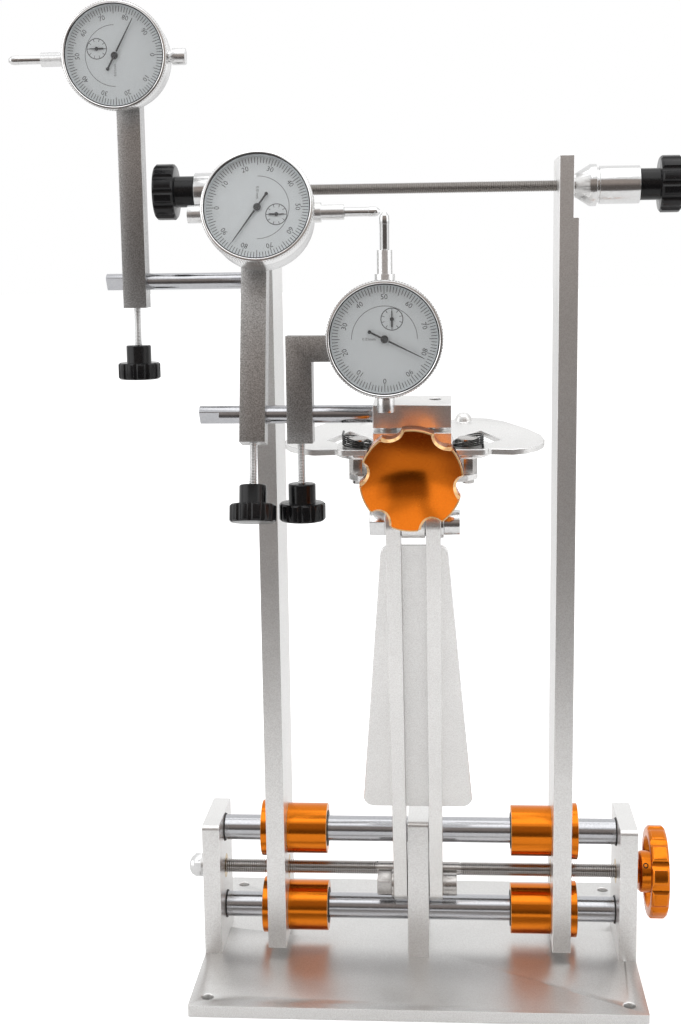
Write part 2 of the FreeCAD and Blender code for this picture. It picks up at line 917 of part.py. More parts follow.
def make_handwheel():
    """Scalloped wheel with a hub and a recess towards the end plate."""
    hub_end = S.handwheel_hub_length
    wheel_end = hub_end + S.handwheel_rim_length
    inner = S.handwheel_radius - S.handwheel_rim_wall
    edge = S.handwheel_scallop_depth
    wheel = turned(
        "handwheel_blank",
        [
            (-S.handwheel_start + S.face_clearance, S.lead_screw_radius),
            (-S.handwheel_start + S.face_clearance, S.lead_screw_nut_radius),
            (0, S.lead_screw_nut_radius),
            (0, S.handwheel_hub_radius - edge),
            (edge, S.handwheel_hub_radius),
            (hub_end + S.handwheel_dish_depth, S.handwheel_hub_radius),
            (hub_end + S.handwheel_dish_depth, inner - edge),
            (hub_end, inner),
            (hub_end, S.handwheel_radius - edge),
            (hub_end + edge, S.handwheel_radius),
            (wheel_end - edge, S.handwheel_radius),
            (wheel_end, S.handwheel_radius - edge),
            (wheel_end, 0),
            (hub_end, 0),
            (hub_end, S.lead_screw_radius),
        ],
        (S.base_length / 2 + S.handwheel_start, 0, S.lead_screw_level),
        "x",
    )
    centre = S.handwheel_radius + S.handwheel_scallop_radius - S.handwheel_scallop_depth
    flutes(wheel, centre, S.handwheel_scallop_radius, S.handwheel_scallop_count)
    node("handwheel", wheel)


def make_upright(side, sign):
    """Upright with its sliding bushes, screw nut and axle cone; sign is +1 on the right."""
    start = S.upright_inner_face if sign > 0 else -upright_outer_face
    circles = [
        (0, S.guide_rod_lower, S.bush_barrel_radius),
        (0, S.guide_rod_upper, S.bush_barrel_radius),
        (0, S.lead_screw_level, S.lead_screw_nut_radius),
        (0, S.axle_level, S.axle_radius + bore),
    ]
    upright = prism(
        f"{side}_upright_blank",
        "YZ_Plane",
        rectangle(-half_stock, half_stock, S.upright_bottom, S.upright_top),
        S.upright_thickness,
        (start, 0, 0),
        circles=circles,
    )
    step_start = upright_step_face if sign > 0 else -upright_outer_face - S.overrun
    step = block(
        f"{side}_upright_step",
        (step_start, -half_stock - S.overrun, S.upright_step_level),
        (
            S.upright_step_depth + S.overrun,
            S.stock_depth + 2 * S.overrun,
            S.upright_top - S.upright_step_level + S.overrun,
        ),
    )
    cutters = [step]
    if sign < 0:
        cutters.append(
            rod(
                "upper_rod_socket",
                S.gauge_rod_radius,
                (-upright_outer_face - S.overrun, S.upper_rod_y, S.upper_rod_level),
                S.overrun + S.upright_thickness / 2,
                "x",
            )
        )
    tool = group(f"{side}_upright_tool", cutters)
    node(f"{side}_upright", cut(f"{side}_upright_cut", upright, tool))
    direction = "x" if sign > 0 else "-x"
    bushes = [
        slider(f"{side}_slider_{number}", sign, level, direction)
        for number, level in enumerate(rod_levels)
    ]
    node(f"{side}_sliders", group(f"{side}_slider_pair", bushes))
    nut = turned(
        f"{side}_screw_nut_ring",
        [
            (0, S.lead_screw_radius + bore),
            (0, S.lead_screw_nut_radius),
            (S.upright_thickness, S.lead_screw_nut_radius),
            (S.upright_thickness, S.lead_screw_radius + bore),
        ],
        (sign * S.upright_inner_face, 0, S.lead_screw_level),
        direction,
    )
    node(f"{side}_screw_nut", nut)
    make_axle_end(side, sign, direction)


def slider(name, sign, level, direction):
    """Flanged bush: body on the inner side, barrel through the upright, flange outside."""
    inner = S.guide_rod_radius + bore
    body_end = S.bush_body_length
    barrel_end = body_end + S.upright_thickness
    flange_end = barrel_end + S.bush_flange_thickness
    return turned(
        name,
        [
            (0, inner),
            (0, S.bush_body_radius),
            (body_end, S.bush_body_radius),
            (body_end, S.bush_barrel_radius),
            (barrel_end, S.bush_barrel_radius),
            (barrel_end, S.bush_flange_radius),
            (flange_end, S.bush_flange_radius),
            (flange_end, inner),
        ],
        (sign * (S.upright_inner_face - S.bush_body_length), 0, level),
        direction,
    )


def make_axle_end(side, sign, direction):
    """Cone that the hub's axle seats against, and the black knob outside it."""
    hole = S.axle_radius + bore
    steps = [
        (S.cone_tip_length, S.cone_tip_radius, S.cone_tip_radius),
        (S.cone_taper_length, S.cone_tip_radius, S.cone_rim_radius),
        (S.cone_rim_length, S.cone_rim_radius, S.cone_rim_radius),
        (S.cone_groove_length, S.cone_groove_radius, S.cone_groove_radius),
        (S.cone_barrel_length, S.cone_barrel_radius, S.cone_barrel_radius),
    ]
    outline = []
    along = 0
    for length, first, last in steps:
        if length is not S.cone_taper_length:
            outline.append((along, first))
        along = along + length
        outline.append((along, last))
    outline = drop_repeats([(0, hole)] + outline + [(along, hole)])
    start = (sign * upright_step_face, 0, S.axle_level)
    node(f"{side}_axle_cone", turned(f"{side}_axle_cone_body", outline, start, direction))
    knob = black_knob(
        f"{side}_axle_knob_body",
        (S.axle_knob_neck_radius, S.axle_knob_neck_length),
        (S.axle_knob_radius, S.axle_knob_length, S.axle_knob_edge),
        hole,
        (sign * (axle_knob_start + S.face_clearance), 0, S.axle_level),
        direction,
    )
    node(f"{side}_axle_knob", knob)


def drop_repeats(outline):
    """Outline without a corner that falls on the one before it."""
    kept = outline[:1]
    for corner in outline[1:]:
        step = math.dist([value_of(v) for v in corner], [value_of(v) for v in kept[-1]])
        if step > 0:
            kept.append(corner)
    return kept


def black_knob(name, neck, head, hole, spot, direction):
    """Knob with a plain neck and a gripped head; neck and head are (radius, length[, edge])."""
    neck_radius, neck_length = neck
    radius, length, edge = head
    end = neck_length + length
    knob = turned(
        name,
        [
            (0, hole),
            (0, neck_radius - edge / 2),
            (edge / 2, neck_radius),
            (neck_length, neck_radius),
            (neck_length, radius - edge),
            (neck_length + edge, radius),
            (end - edge, radius),
            (end, radius - edge),
            (end, hole),
        ],
        spot,
        direction,
    )
    centre = radius * FLUTE_CENTRE_SHARE
    return flutes(knob, centre, radius * FLUTE_RADIUS_SHARE, S.knob_flute_count)


def make_axle():
    """Threaded axle, and the gauge rod on the left upright."""
    axle = rod(
        "axle_bar",
        S.axle_radius,
        (-S.axle_half_length, 0, S.axle_level),
        2 * S.axle_half_length,
        "x",
    )
    node("axle_rod", axle)
    socket_end = upright_outer_face - S.upright_thickness / 2
    start = (-S.upper_rod_end, S.upper_rod_y, S.upper_rod_level)
    bar = rod("upper_gauge_bar", S.gauge_rod_radius, start, S.upper_rod_end - socket_end, "x")
    node("upper_gauge_rod", rod_flat("upper_rod", bar, start))


def rod_flat(name, bar, start):
    """Gauge rod with the flat at its free end."""
    x, y, z = start
    flat = block(
        f"{name}_flat",
        (
            x - S.overrun,
            y - S.gauge_rod_radius - S.overrun,
            z + S.gauge_rod_radius - S.rod_flat_depth,
        ),
        (
            S.rod_flat_length + S.overrun,
            2 * (S.gauge_rod_radius + S.overrun),
            S.rod_flat_depth + S.overrun,
        ),
    )
    return cut(f"{name}_with_flat", bar, flat)


def make_arm():
    """Two arm bars and the tapering panel behind them, in the arm's own tilted frame."""
    end = S.arm_bar_half_depth
    hole = S.pivot_bolt_radius + bore
    web = block(
        "arm_bar_web",
        (arm_inner_face, -end, 0),
        (S.arm_bar_thickness, 2 * end, S.arm_length),
    )
    ends = [
        rod(f"arm_bar_end_{number}", end, (arm_inner_face, 0, level), S.arm_bar_thickness, "x")
        for number, level in enumerate((0, S.arm_length))
    ]
    holes = [
        rod(
            f"arm_bar_hole_{number}",
            hole,
            (arm_inner_face - S.overrun, 0, level),
            S.arm_bar_thickness + 2 * S.overrun,
            "x",
        )
        for number, level in enumerate((0, S.arm_length))
    ]
    blank = fused("arm_bar_blank", [web] + ends)
    bar = cut("arm_bar_right", blank, group("arm_bar_holes", holes))
    bars = group("arm_bar_pair", [bar, mirrored("arm_bar_left", bar)], arm_spot, tilt(S.arm_tilt))
    node("arm_bars", bars)
    panel_top = S.arm_length - S.tongue_end_radius - S.panel_head_gap
    panel = prism(
        "arm_panel_body",
        "XZ_Plane",
        [
            (-S.panel_bottom_half_width, S.panel_bottom),
            (S.panel_bottom_half_width, S.panel_bottom),
            (S.panel_top_half_width, panel_top),
            (-S.panel_top_half_width, panel_top),
        ],
        S.panel_thickness,
        (0, end, 0),
    )
    round_corners(panel, S.panel_corner, FreeCAD.Vector(0, 1, 0), lambda p: True)
    node("arm_panel", group("arm_panel_set", [panel], arm_spot, tilt(S.arm_tilt)))
    node("arm_pivot_bolt", pivot_bolt("arm_bolt", arm_spot, None, False))
    node("head_pivot_bolt", pivot_bolt("head_bolt", head_spot, tilt(S.arm_tilt), True))


def make_head():
    """Tongue, flat bar, clamping blocks and yoke, in the head's own tilted frame."""
    turn = tilt(S.head_tilt)
    hole = S.pivot_bolt_radius + bore
    half = S.tongue_width / 2
    web = block(
        "tongue_web",
        (-half, -S.tongue_end_radius, 0),
        (S.tongue_width, 2 * S.tongue_end_radius, S.head_bar_level),
    )
    foot = rod("tongue_foot", S.tongue_end_radius, (-half, 0, 0), S.tongue_width, "x")
    pivot = rod("tongue_hole", hole, (-half - S.overrun, 0, 0), S.tongue_width + 2 * S.overrun, "x")
    screw = rod(
        "tongue_screw_hole",
        S.cup_screw_radius + bore,
        (0, -S.tongue_end_radius - S.overrun, S.cup_level),
        2 * (S.tongue_end_radius + S.overrun),
        "y",
    )
    tongue = cut("tongue_drilled", fused("tongue_blank", [web, foot]), group("tongue_tool", [pivot, screw]))
    node("head_tongue", group("head_tongue_set", [tongue], head_spot, turn))
    bar_back = S.head_bar_front + S.head_bar_depth
    bar = prism(
        "head_bar_body",
        "XY_Plane",
        rectangle(-S.head_bar_half_length, S.head_bar_half_length, S.head_bar_front, bar_back),
        S.head_bar_thickness,
        (0, 0, S.head_bar_level),
        circles=[
            (side * S.jaw_pivot_x, S.jaw_pivot_y, S.jaw_bolt_radius) for side in (-1, 1)
        ],
    )
    edge = S.head_bar_half_length.value - S.head_bar_corner.value
    round_corners(bar, S.head_bar_corner, FreeCAD.Vector(0, 0, 1), lambda p: abs(p.x) > edge)
    node("head_bar", group("head_bar_set", [bar], head_spot, turn))
    node("head_blocks", group("head_block_set", head_blocks(bar_back), head_spot, turn))
    socket = S.upper_block_half_length / 2
    start = (-S.lower_rod_end, S.lower_rod_y, S.lower_rod_level)
    rod_bar = rod("lower_gauge_bar", S.gauge_rod_radius, start, S.lower_rod_end - socket, "x")
    lower_rod = rod_flat("lower_rod", rod_bar, start)
    node("lower_gauge_rod", group("lower_gauge_rod_set", [lower_rod], head_spot, turn))
    make_yoke(turn)
    make_jaw_bolts(turn)
    make_springs(turn)


def head_blocks(bar_back):
    """Lower and upper clamping blocks with the two discs in the gap between them."""
    lower_level = S.head_bar_level + S.head_bar_thickness
    gap_level = lower_level + S.lower_block_height
    upper_level = gap_level + S.block_gap
    lower = block(
        "lower_block",
        (-S.lower_block_half_length, S.head_bar_front, lower_level),
        (2 * S.lower_block_half_length, S.head_bar_depth, S.lower_block_height),
    )
    discs = [
        rod(
            f"block_disc_{number}",
            S.block_disc_radius,
            (side * S.block_disc_spread, S.lower_rod_y, gap_level),
            S.block_gap,
        )
        for number, side in enumerate((-1, 1))
    ]
    upper = prism(
        "upper_block_body",
        "XY_Plane",
        rectangle(
            -S.upper_block_half_length,
            S.upper_block_half_length,
            S.head_bar_front,
            S.head_bar_front + S.upper_block_depth,
        ),
        S.upper_block_height,
        (0, 0, upper_level),
        circles=[(S.upper_block_hole_x, S.upper_block_hole_y, S.upper_block_hole_radius)],
    )
    socket = rod(
        "upper_block_socket",
        S.gauge_rod_radius,
        (-S.upper_block_half_length - S.overrun, S.lower_rod_y, S.lower_rod_level),
        S.upper_block_half_length / 2 + S.overrun,
        "x",
    )
    return [lower, cut("upper_block", upper, socket)] + discs


def make_yoke(turn):
    """Plate under the jaws with an ear round each jaw pivot and a nose towards the knob."""
    level = S.head_bar_level - S.jaw_thickness - 2 * S.jaw_nut_height - S.yoke_thickness
    level = level - 2 * S.face_clearance
    ear = S.yoke_ear_radius
    hole = S.jaw_bolt_radius
    tongue_front = -S.tongue_end_radius
    plate = prism(
        "yoke_plate",
        "XY_Plane",
        [
            (-S.jaw_pivot_x - ear, S.jaw_pivot_y),
            (-S.jaw_pivot_x, S.jaw_pivot_y - ear),
            (-S.tongue_width / 2 - ear, tongue_front - S.yoke_reach + ear),
            (-S.tongue_width / 2, tongue_front - S.yoke_reach + ear / 2),
            (S.tongue_width / 2, tongue_front - S.yoke_reach + ear / 2),
            (S.tongue_width / 2 + ear, tongue_front - S.yoke_reach + ear),
            (S.jaw_pivot_x, S.jaw_pivot_y - ear),
            (S.jaw_pivot_x + ear, S.jaw_pivot_y),
            (S.jaw_pivot_x, S.jaw_pivot_y + ear),
            (S.tongue_width / 2 + bore, S.jaw_pivot_y + ear / 2),
            (S.tongue_width / 2 + bore, tongue_front - bore),
            (-S.tongue_width / 2 - bore, tongue_front - bore),
            (-S.tongue_width / 2 - bore, S.jaw_pivot_y + ear / 2),
            (-S.jaw_pivot_x, S.jaw_pivot_y + ear),
        ],
        S.yoke_thickness,
        (0, 0, level),
        circles=[(side * S.jaw_pivot_x, S.jaw_pivot_y, hole) for side in (-1, 1)],
    )
    ear_edge = S.jaw_pivot_x.value - ear.value / 2
    round_corners(
        plate, ear / 2, FreeCAD.Vector(0, 0, 1), lambda p: abs(p.x) > ear_edge
    )
    node("head_yoke", group("head_yoke_set", [plate], head_spot, turn))


def make_jaw_bolts(turn):
    """Pivot bolts of the jaws, each with two nuts stacked between the jaw and the yoke."""
    pieces = []
    jaw_bottom = S.head_bar_level - S.jaw_thickness - 2 * S.face_clearance
    nut_bottom = jaw_bottom - 2 * S.jaw_nut_height
    bolt_bottom = nut_bottom - S.yoke_thickness - S.jaw_nut_height / 2
    head_bottom = S.head_bar_level + S.head_bar_thickness + S.jaw_bolt_stand
    for number, side in enumerate((-1, 1)):
        x = side * S.jaw_pivot_x
        spot = (x, S.jaw_pivot_y, bolt_bottom)
        shank = rod(f"jaw_bolt_shank_{number}", S.jaw_bolt_radius, spot, head_bottom - bolt_bottom)
        head = rod(
            f"jaw_bolt_head_{number}",
            S.jaw_bolt_head_radius,
            (x, S.jaw_pivot_y, head_bottom),
            S.jaw_bolt_head_height,
        )
        nuts = [
            hexagon(
                f"jaw_nut_{number}_{place_in_stack}",
                S.jaw_nut_radius,
                (x, S.jaw_pivot_y, nut_bottom + place_in_stack * S.jaw_nut_height),
                S.jaw_nut_height,
            )
            for place_in_stack in range(2)
        ]
        pieces.append(fused(f"jaw_bolt_{number}", [shank, head] + nuts))
    node("jaw_pivot_bolts", group("jaw_pivot_bolt_pair", pieces, head_spot, turn))


def spring_height():
    """Height of a jaw spring that stands on the flat bar, with its end gaps."""
    return S.spring_pitch * SPRING_TURNS + 2 * S.spring_wire_radius + 2 * S.face_clearance


def helix_point(angle, sign):
    """Point and direction on the spring's centre line after an angle in radians."""
    radius = S.spring_mean_radius.value
    rise = S.spring_pitch.value / (2 * math.pi)
    point = FreeCAD.Vector(
        radius * math.cos(angle), sign * radius * math.sin(angle), rise * angle
    )
    direction = FreeCAD.Vector(
        -radius * math.sin(angle), sign * radius * math.cos(angle), rise
    )
    return point, direction.normalize()


def arc_between(start, corner, end):
    """Arc that touches both legs of an even corner."""
    weight = (end - start).Length / 2 / (corner - start).Length
    middle = (start + end + corner * (2 * weight)) * (1 / (2 + 2 * weight))
    return Part.Arc(start, middle, end).toShape()


def biarc(first, first_direction, last, last_direction):
    """Two arcs that join two points and keep both directions."""
    chord = last - first
    both = first_direction + last_direction
    bend = 2 * (1 - first_direction.dot(last_direction))
    push = chord.dot(both)
    reach = (math.sqrt(push * push + bend * chord.dot(chord)) - push) / bend
    near = first + first_direction * reach
    far = last - last_direction * reach
    middle = (near + far) * 0.5
    return [arc_between(first, near, middle), arc_between(middle, far, last)]


def make_springs(turn):
    """Torsion springs that stand on the flat bar round the jaw pivots and open the jaws."""
    shapes = []
    step = math.pi / 2
    count = int(SPRING_TURNS * 4)
    level = value_of(S.head_bar_level + S.head_bar_thickness + S.spring_wire_radius)
    level = level + S.face_clearance.value
    for side in (-1, 1):
        edges = []
        first, direction = helix_point(0, side)
        leg_start = first - direction * S.spring_leg.value
        edges.append(Part.LineSegment(leg_start, first).toShape())
        for number in range(count):
            start, start_direction = helix_point(number * step, side)
            end, end_direction = helix_point((number + 1) * step, side)
            edges.extend(biarc(start, start_direction, end, end_direction))
        last, direction = helix_point(count * step, side)
        leg_end = last + direction * S.spring_leg.value
        edges.append(Part.LineSegment(last, leg_end).toShape())
        path = Part.Wire(edges)
        lead = (first - leg_start).normalize()
        ring = Part.Wire([Part.makeCircle(S.spring_wire_radius.value, leg_start, lead)])
        tube = path.makePipeShell([ring], True, False)
        tube.translate(FreeCAD.Vector(side * S.jaw_pivot_x.value, S.jaw_pivot_y.value, level))
        shapes.append(tube)
    least = least_coil_gap(count, step)
    print(f"jaw spring least gap to itself {least:.3f} mm, volume {shapes[0].Volume:.1f} mm3")
    springs = doc.addObject("Part::Feature", "jaw_spring_pair")
    springs.Shape = Part.makeCompound(shapes)
    place(springs, head_spot, turn)
    node("jaw_springs", springs)


def least_coil_gap(count, step):
    """Least gap between turns of the spring, measured on points of its centre line."""
    fine = step / 6
    points = [helix_point(number * fine, 1)[0] for number in range(count * 6 + 1)]
    half_turn = int(math.pi / fine)
    gaps = [
        (points[later] - points[earlier]).Length
        for earlier in range(len(points))
        for later in range(earlier + half_turn, len(points))
    ]
    return min(gaps) - 2 * S.spring_wire_radius.value


def make_jaw(side, sign):
    """Swinging jaw under the flat bar, with the button screw at its far end."""
    reach = S.jaw_reach
    outline = [(sign * reach * across, S.jaw_pivot_y + reach * back) for across, back in JAW_SHARES]
    if sign < 0:
        outline.reverse()
    level = S.head_bar_level - S.jaw_thickness - S.face_clearance
    plate = prism(
        f"{side}_jaw_plate",
        "XY_Plane",
        outline,
        S.jaw_thickness,
        (0, 0, level),
        circles=[(sign * S.jaw_pivot_x, S.jaw_pivot_y, S.jaw_bolt_radius + bore)],
    )
    across, back = JAW_BUTTON_SHARES
    edge = S.jaw_button_height / 4
    button = turned(
        f"{side}_jaw_button",
        [
            (0, 0),
            (0, S.jaw_button_radius),
            (edge, S.jaw_button_radius),
            (3 * edge, S.jaw_button_radius * 0.8),
            (4 * edge, S.jaw_button_radius * 0.5),
            (4 * edge, 0),
        ],
        (sign * reach * across, S.jaw_pivot_y + reach * back, level + S.jaw_thickness),
    )
    jaw = fused(f"{side}_jaw_solid", [plate, button])
    node(f"{side}_jaw", group(f"{side}_jaw_set", [jaw], head_spot, tilt(S.head_tilt)))


def make_calliper_knob():
    """Orange cup with scallops and a conical dish at the front, on its screw."""
    turn = tilt(S.head_tilt)
    outer = S.cup_radius
    inner = outer - S.cup_wall
    floor = S.cup_length - S.cup_dish_depth
    edge = S.cup_wall / 3
    cup = turned(
        "calliper_cup",
        [
            (0, S.cup_screw_radius),
            (0, outer * CUP_BACK_SHARE),
            (floor, outer * CUP_SIDE_SHARE),
            (floor + floor / 2, outer),
            (S.cup_length - edge, outer),
            (S.cup_length, outer - edge),
            (S.cup_length, inner),
            (floor, S.cup_dish_centre_radius),
            (floor, 0),
            (S.cup_screw_socket, 0),
            (S.cup_screw_socket, S.cup_screw_radius),
        ],
        (0, -S.cup_front + S.cup_length, S.cup_level),
        "-y",
    )
    centre = outer + S.cup_scallop_radius - S.cup_scallop_depth
    flutes(cup, centre, S.cup_scallop_radius, S.cup_scallop_count)
    node("calliper_knob", group("calliper_knob_set", [cup], head_spot, turn))
    front = -S.cup_front + S.cup_length - S.cup_screw_socket
    body = S.cup_screw_length - S.cup_screw_nose
    screw = turned(
        "calliper_screw_body",
        [
            (0, 0),
            (0, S.cup_screw_radius),
            (body, S.cup_screw_radius),
            (S.cup_screw_length, S.cup_screw_radius / 3),
            (S.cup_screw_length, 0),
        ],
        (0, front, S.cup_level),
        "y",
    )
    node("calliper_screw", group("calliper_screw_set", [screw], head_spot, turn))


def gauge_bar(name, below, above, extra):
    """Square bar bored for its rod and its clamp screw, in the rod's own frame."""
    bar = block(f"{name}_blank", (-half_bar, -half_bar, -below), (2 * half_bar, 2 * half_bar, below + above))
    pieces = [bar] + extra
    blank = fused(f"{name}_fused", pieces) if extra else bar
    rod_hole = rod(
        f"{name}_rod_hole",
        S.gauge_rod_radius + bore,
        (-half_bar - S.overrun, 0, 0),
        2 * (half_bar + S.overrun),
        "x",
    )
    screw_hole = rod(
        f"{name}_screw_hole",
        S.clamp_screw_radius + bore,
        (0, 0, -below - S.overrun),
        below + S.overrun,
    )
    return cut(f"{name}_drilled", blank, group(f"{name}_tool", [rod_hole, screw_hole]))


def clamp_knob(name, below):
    """Clamp screw that presses on the rod from below, with its black knob."""
    tip = -S.gauge_rod_radius - S.face_clearance
    neck_top = -below - S.clamp_screw_length
    screw_bottom = neck_top - S.clamp_knob_neck_length
    screw = rod(f"{name}_screw", S.clamp_screw_radius, (0, 0, screw_bottom), tip - screw_bottom)
    knob = black_knob(
        f"{name}_head",
        (S.clamp_knob_neck_radius, S.clamp_knob_neck_length),
        (S.clamp_knob_radius, S.clamp_knob_length, S.clamp_knob_edge),
        0,
        (0, 0, neck_top),
        "-z",
    )
    return fused(f"{name}_solid", [screw, knob])


def gauge_case(name):
    """Round case with its stem, plunger guide, top cap and back boss; the dial looks along -Y."""
    front = S.gauge_dial_thickness + S.face_clearance
    back = half_bar_front()
    case = turned(
        f"{name}_drum",
        [
            (0, 0),
            (0, S.gauge_inner_dial_radius),
            (front, S.gauge_inner_dial_radius),
            (front, S.gauge_case_radius),
            (S.gauge_case_depth - S.gauge_bezel_edge, S.gauge_case_radius),
            (S.gauge_case_depth, S.gauge_case_radius - S.gauge_bezel_edge),
            (S.gauge_case_depth, S.gauge_boss_radius),
            (back, S.gauge_boss_radius),
            (back, 0),
        ],
        (0, 0, 0),
        "y",
    )
    middle = S.gauge_case_radius / 2
    axis_y = S.gauge_stem_depth
    stem = rod(f"{name}_stem", S.gauge_stem_radius, (0, axis_y, -S.gauge_stem_end), S.gauge_stem_end - middle)
    collar = rod(
        f"{name}_collar",
        S.gauge_collar_radius,
        (0, axis_y, -S.gauge_collar_end),
        S.gauge_collar_end - middle,
    )
    cap = rod(
        f"{name}_cap",
        S.gauge_cap_radius,
        (0, axis_y, S.gauge_cap_start),
        S.gauge_cap_end - S.gauge_cap_start,
    )
    cap_neck = rod(
        f"{name}_cap_neck",
        S.gauge_cap_neck_radius,
        (0, axis_y, middle),
        S.gauge_cap_start - middle,
    )
    depth = S.plunger_inner_end - S.plunger_travel - S.face_clearance
    guide = rod(
        f"{name}_guide",
        S.plunger_radius + bore,
        (0, axis_y, -S.gauge_stem_end - S.overrun),
        S.gauge_stem_end + S.overrun - depth,
    )
    shafts = [
        rod(
            f"{name}_hand_hole",
            S.hand_shaft_radius + bore,
            (0, -S.overrun, 0),
            S.overrun + 2 * front,
            "y",
        ),
        rod(
            f"{name}_small_hand_hole",
            S.small_hand_shaft_radius + bore,
            (-S.small_hand_left, -S.overrun, -S.small_hand_down),
            S.overrun + 2 * front,
            "y",
        ),
    ]
    blank = fused(f"{name}_blank", [case, stem, collar, cap, cap_neck])
    return cut(f"{name}_hollow", blank, group(f"{name}_tool", [guide] + shafts))


def half_bar_front():
    """Distance from the dial's face back to the bar that carries the gauge."""
    return S.gauge_case_depth + S.gauge_bezel_edge


def gauge_bezel(name):
    """Turning ring round the dial, with a lip in front of it."""
    inner = S.gauge_case_radius + bore
    end = S.gauge_bezel_depth
    edge = S.gauge_bezel_edge
    return turned(
        name,
        [
            (0, S.gauge_bezel_lip_radius),
            (0, S.gauge_bezel_radius - edge),
            (edge, S.gauge_bezel_radius),
            (end - edge, S.gauge_bezel_radius),
            (end, S.gauge_bezel_radius - edge),
            (end, inner),
            (S.gauge_bezel_lip, inner),
            (S.gauge_bezel_lip, S.gauge_bezel_lip_radius),
        ],
        (0, -S.gauge_bezel_front, 0),
        "y",
    )


def gauge_dial(name):
    """Outer ring of the dial, which turns with the bezel round the fixed middle."""
    return turned(
        name,
        [
            (0, S.gauge_inner_dial_radius + bore),
            (0, S.gauge_case_radius),
            (S.gauge_dial_thickness, S.gauge_case_radius),
            (S.gauge_dial_thickness, S.gauge_inner_dial_radius + bore),
        ],
        (0, 0, 0),
        "y",
    )


def gauge_hand(name, sizes, spot):
    """Needle with its hub and shaft; sizes are (length, tail, width, hub, shaft, height)."""
    length, tail, width, hub_radius, shaft_radius, height = sizes
    x, z = spot
    needle = prism(
        f"{name}_needle",
        "XZ_Plane",
        [
            (x - width / 2, z - tail),
            (x + width / 2, z - tail),
            (x + width / 2, z),
            (x + width / 2 * HAND_TIP_SHARE, z + length),
            (x - width / 2 * HAND_TIP_SHARE, z + length),
            (x - width / 2, z),
        ],
        S.hand_thickness,
        (0, -height, 0),
    )
    hub = rod(f"{name}_hub", hub_radius, (x, -height, z), S.hand_thickness, "y")
    shaft_end = S.gauge_dial_thickness + S.face_clearance
    shaft = rod(f"{name}_shaft", shaft_radius, (x, -height, z), height + shaft_end, "y")
    return fused(f"{name}_solid", [needle, hub, shaft])


def gauge_plunger(name):
    """Plunger with its contact point, sliding in the stem."""
    tip = S.plunger_end - S.plunger_tip_start
    point = S.plunger_point_radius
    return turned(
        name,
        [
            (0, 0),
            (0, S.plunger_radius),
            (S.plunger_tip_start - S.plunger_inner_end, S.plunger_radius),
            (S.plunger_tip_start - S.plunger_inner_end, S.plunger_tip_radius),
            (S.plunger_end - S.plunger_inner_end - tip / 2, S.plunger_tip_radius),
            (S.plunger_end - S.plunger_inner_end - point, point * 1.5),
            (S.plunger_end - S.plunger_inner_end, point * 0.7),
            (S.plunger_end - S.plunger_inner_end, 0),
        ],
        (0, S.gauge_stem_depth, -S.plunger_inner_end),
        "-z",
    )


def make_gauge(number, bar_spot, bar_tilt, below, above, extra):
    """One gauge with its bar and clamp; the bar's frame has its origin on the rod's axis."""
    name = f"gauge_{number}"
    across = Size(SIZES[f"{name}_across"], f"Sizes.{name}_across")
    up = Size(SIZES[f"{name}_up"], f"Sizes.{name}_up")
    turn = FreeCAD.Rotation(FreeCAD.Vector(0, 1, 0), -SIZES[f"{name}_turn"])
    hand_turn = FreeCAD.Rotation(FreeCAD.Vector(0, 1, 0), SIZES[f"{name}_hand_angle"])
    dial_spot = (across, -half_bar - half_bar_front(), up)
    bar = gauge_bar(f"{name}_bar_solid", below, above, extra)
    node(f"{name}_bar", group(f"{name}_bar_set", [bar], bar_spot, bar_tilt))
    knob = clamp_knob(f"{name}_clamp", below)
    node(f"{name}_clamp_knob", group(f"{name}_clamp_set", [knob], bar_spot, bar_tilt))
    hand_sizes = (
        S.hand_length,
        S.hand_tail,
        S.hand_width,
        S.hand_hub_radius,
        S.hand_shaft_radius,
        S.hand_height,
    )
    small_hand_sizes = (
        S.small_hand_length,
        S.small_hand_length / 3,
        S.small_hand_width,
        S.small_hand_width,
        S.small_hand_shaft_radius,
        S.small_hand_height,
    )
    small_spot = (-S.small_hand_left, -S.small_hand_down)
    pieces = {
        "case": gauge_case(f"{name}_case_solid"),
        "bezel": gauge_bezel(f"{name}_bezel_ring"),
        "dial": gauge_dial(f"{name}_dial_ring"),
        "hand": group(
            f"{name}_hand_turned",
            [gauge_hand(f"{name}_hand", hand_sizes, (0, 0))],
            (0, 0, 0),
            hand_turn,
        ),
        "small_hand": gauge_hand(f"{name}_small_hand", small_hand_sizes, small_spot),
        "plunger": gauge_plunger(f"{name}_plunger_body"),
    }
    for part, piece in pieces.items():
        on_bar = group(f"{name}_{part}_on_bar", [piece], dial_spot, turn)
        node(f"{name}_{part}", group(f"{name}_{part}_set", [on_bar], bar_spot, bar_tilt))


def make_gauges():
    """Gauge 1 on the upper rod, gauges 2 and 3 on the lower rod."""
    upper_spot = (S.bar_1_x, S.upper_rod_y, S.upper_rod_level)
    make_gauge(1, upper_spot, FreeCAD.Rotation(), S.bar_1_below, S.bar_1_above, [])
    rod_y, rod_z = along_head(S.lower_rod_y, S.lower_rod_level)
    second_spot = (S.bar_2_x, rod_y, rod_z)
    make_gauge(2, second_spot, tilt(S.bar_2_tilt), S.bar_2_below, S.bar_2_above, [])
    side_arm = block(
        "bar_3_side_arm",
        (0, -half_bar, S.bar_3_above - 2 * half_bar),
        (S.bar_3_arm_length + half_bar, 2 * half_bar, 2 * half_bar),
    )
    third_spot = (S.bar_3_x, rod_y, rod_z)
    make_gauge(3, third_spot, FreeCAD.Rotation(), S.bar_3_below, S.bar_3_above, [side_arm])


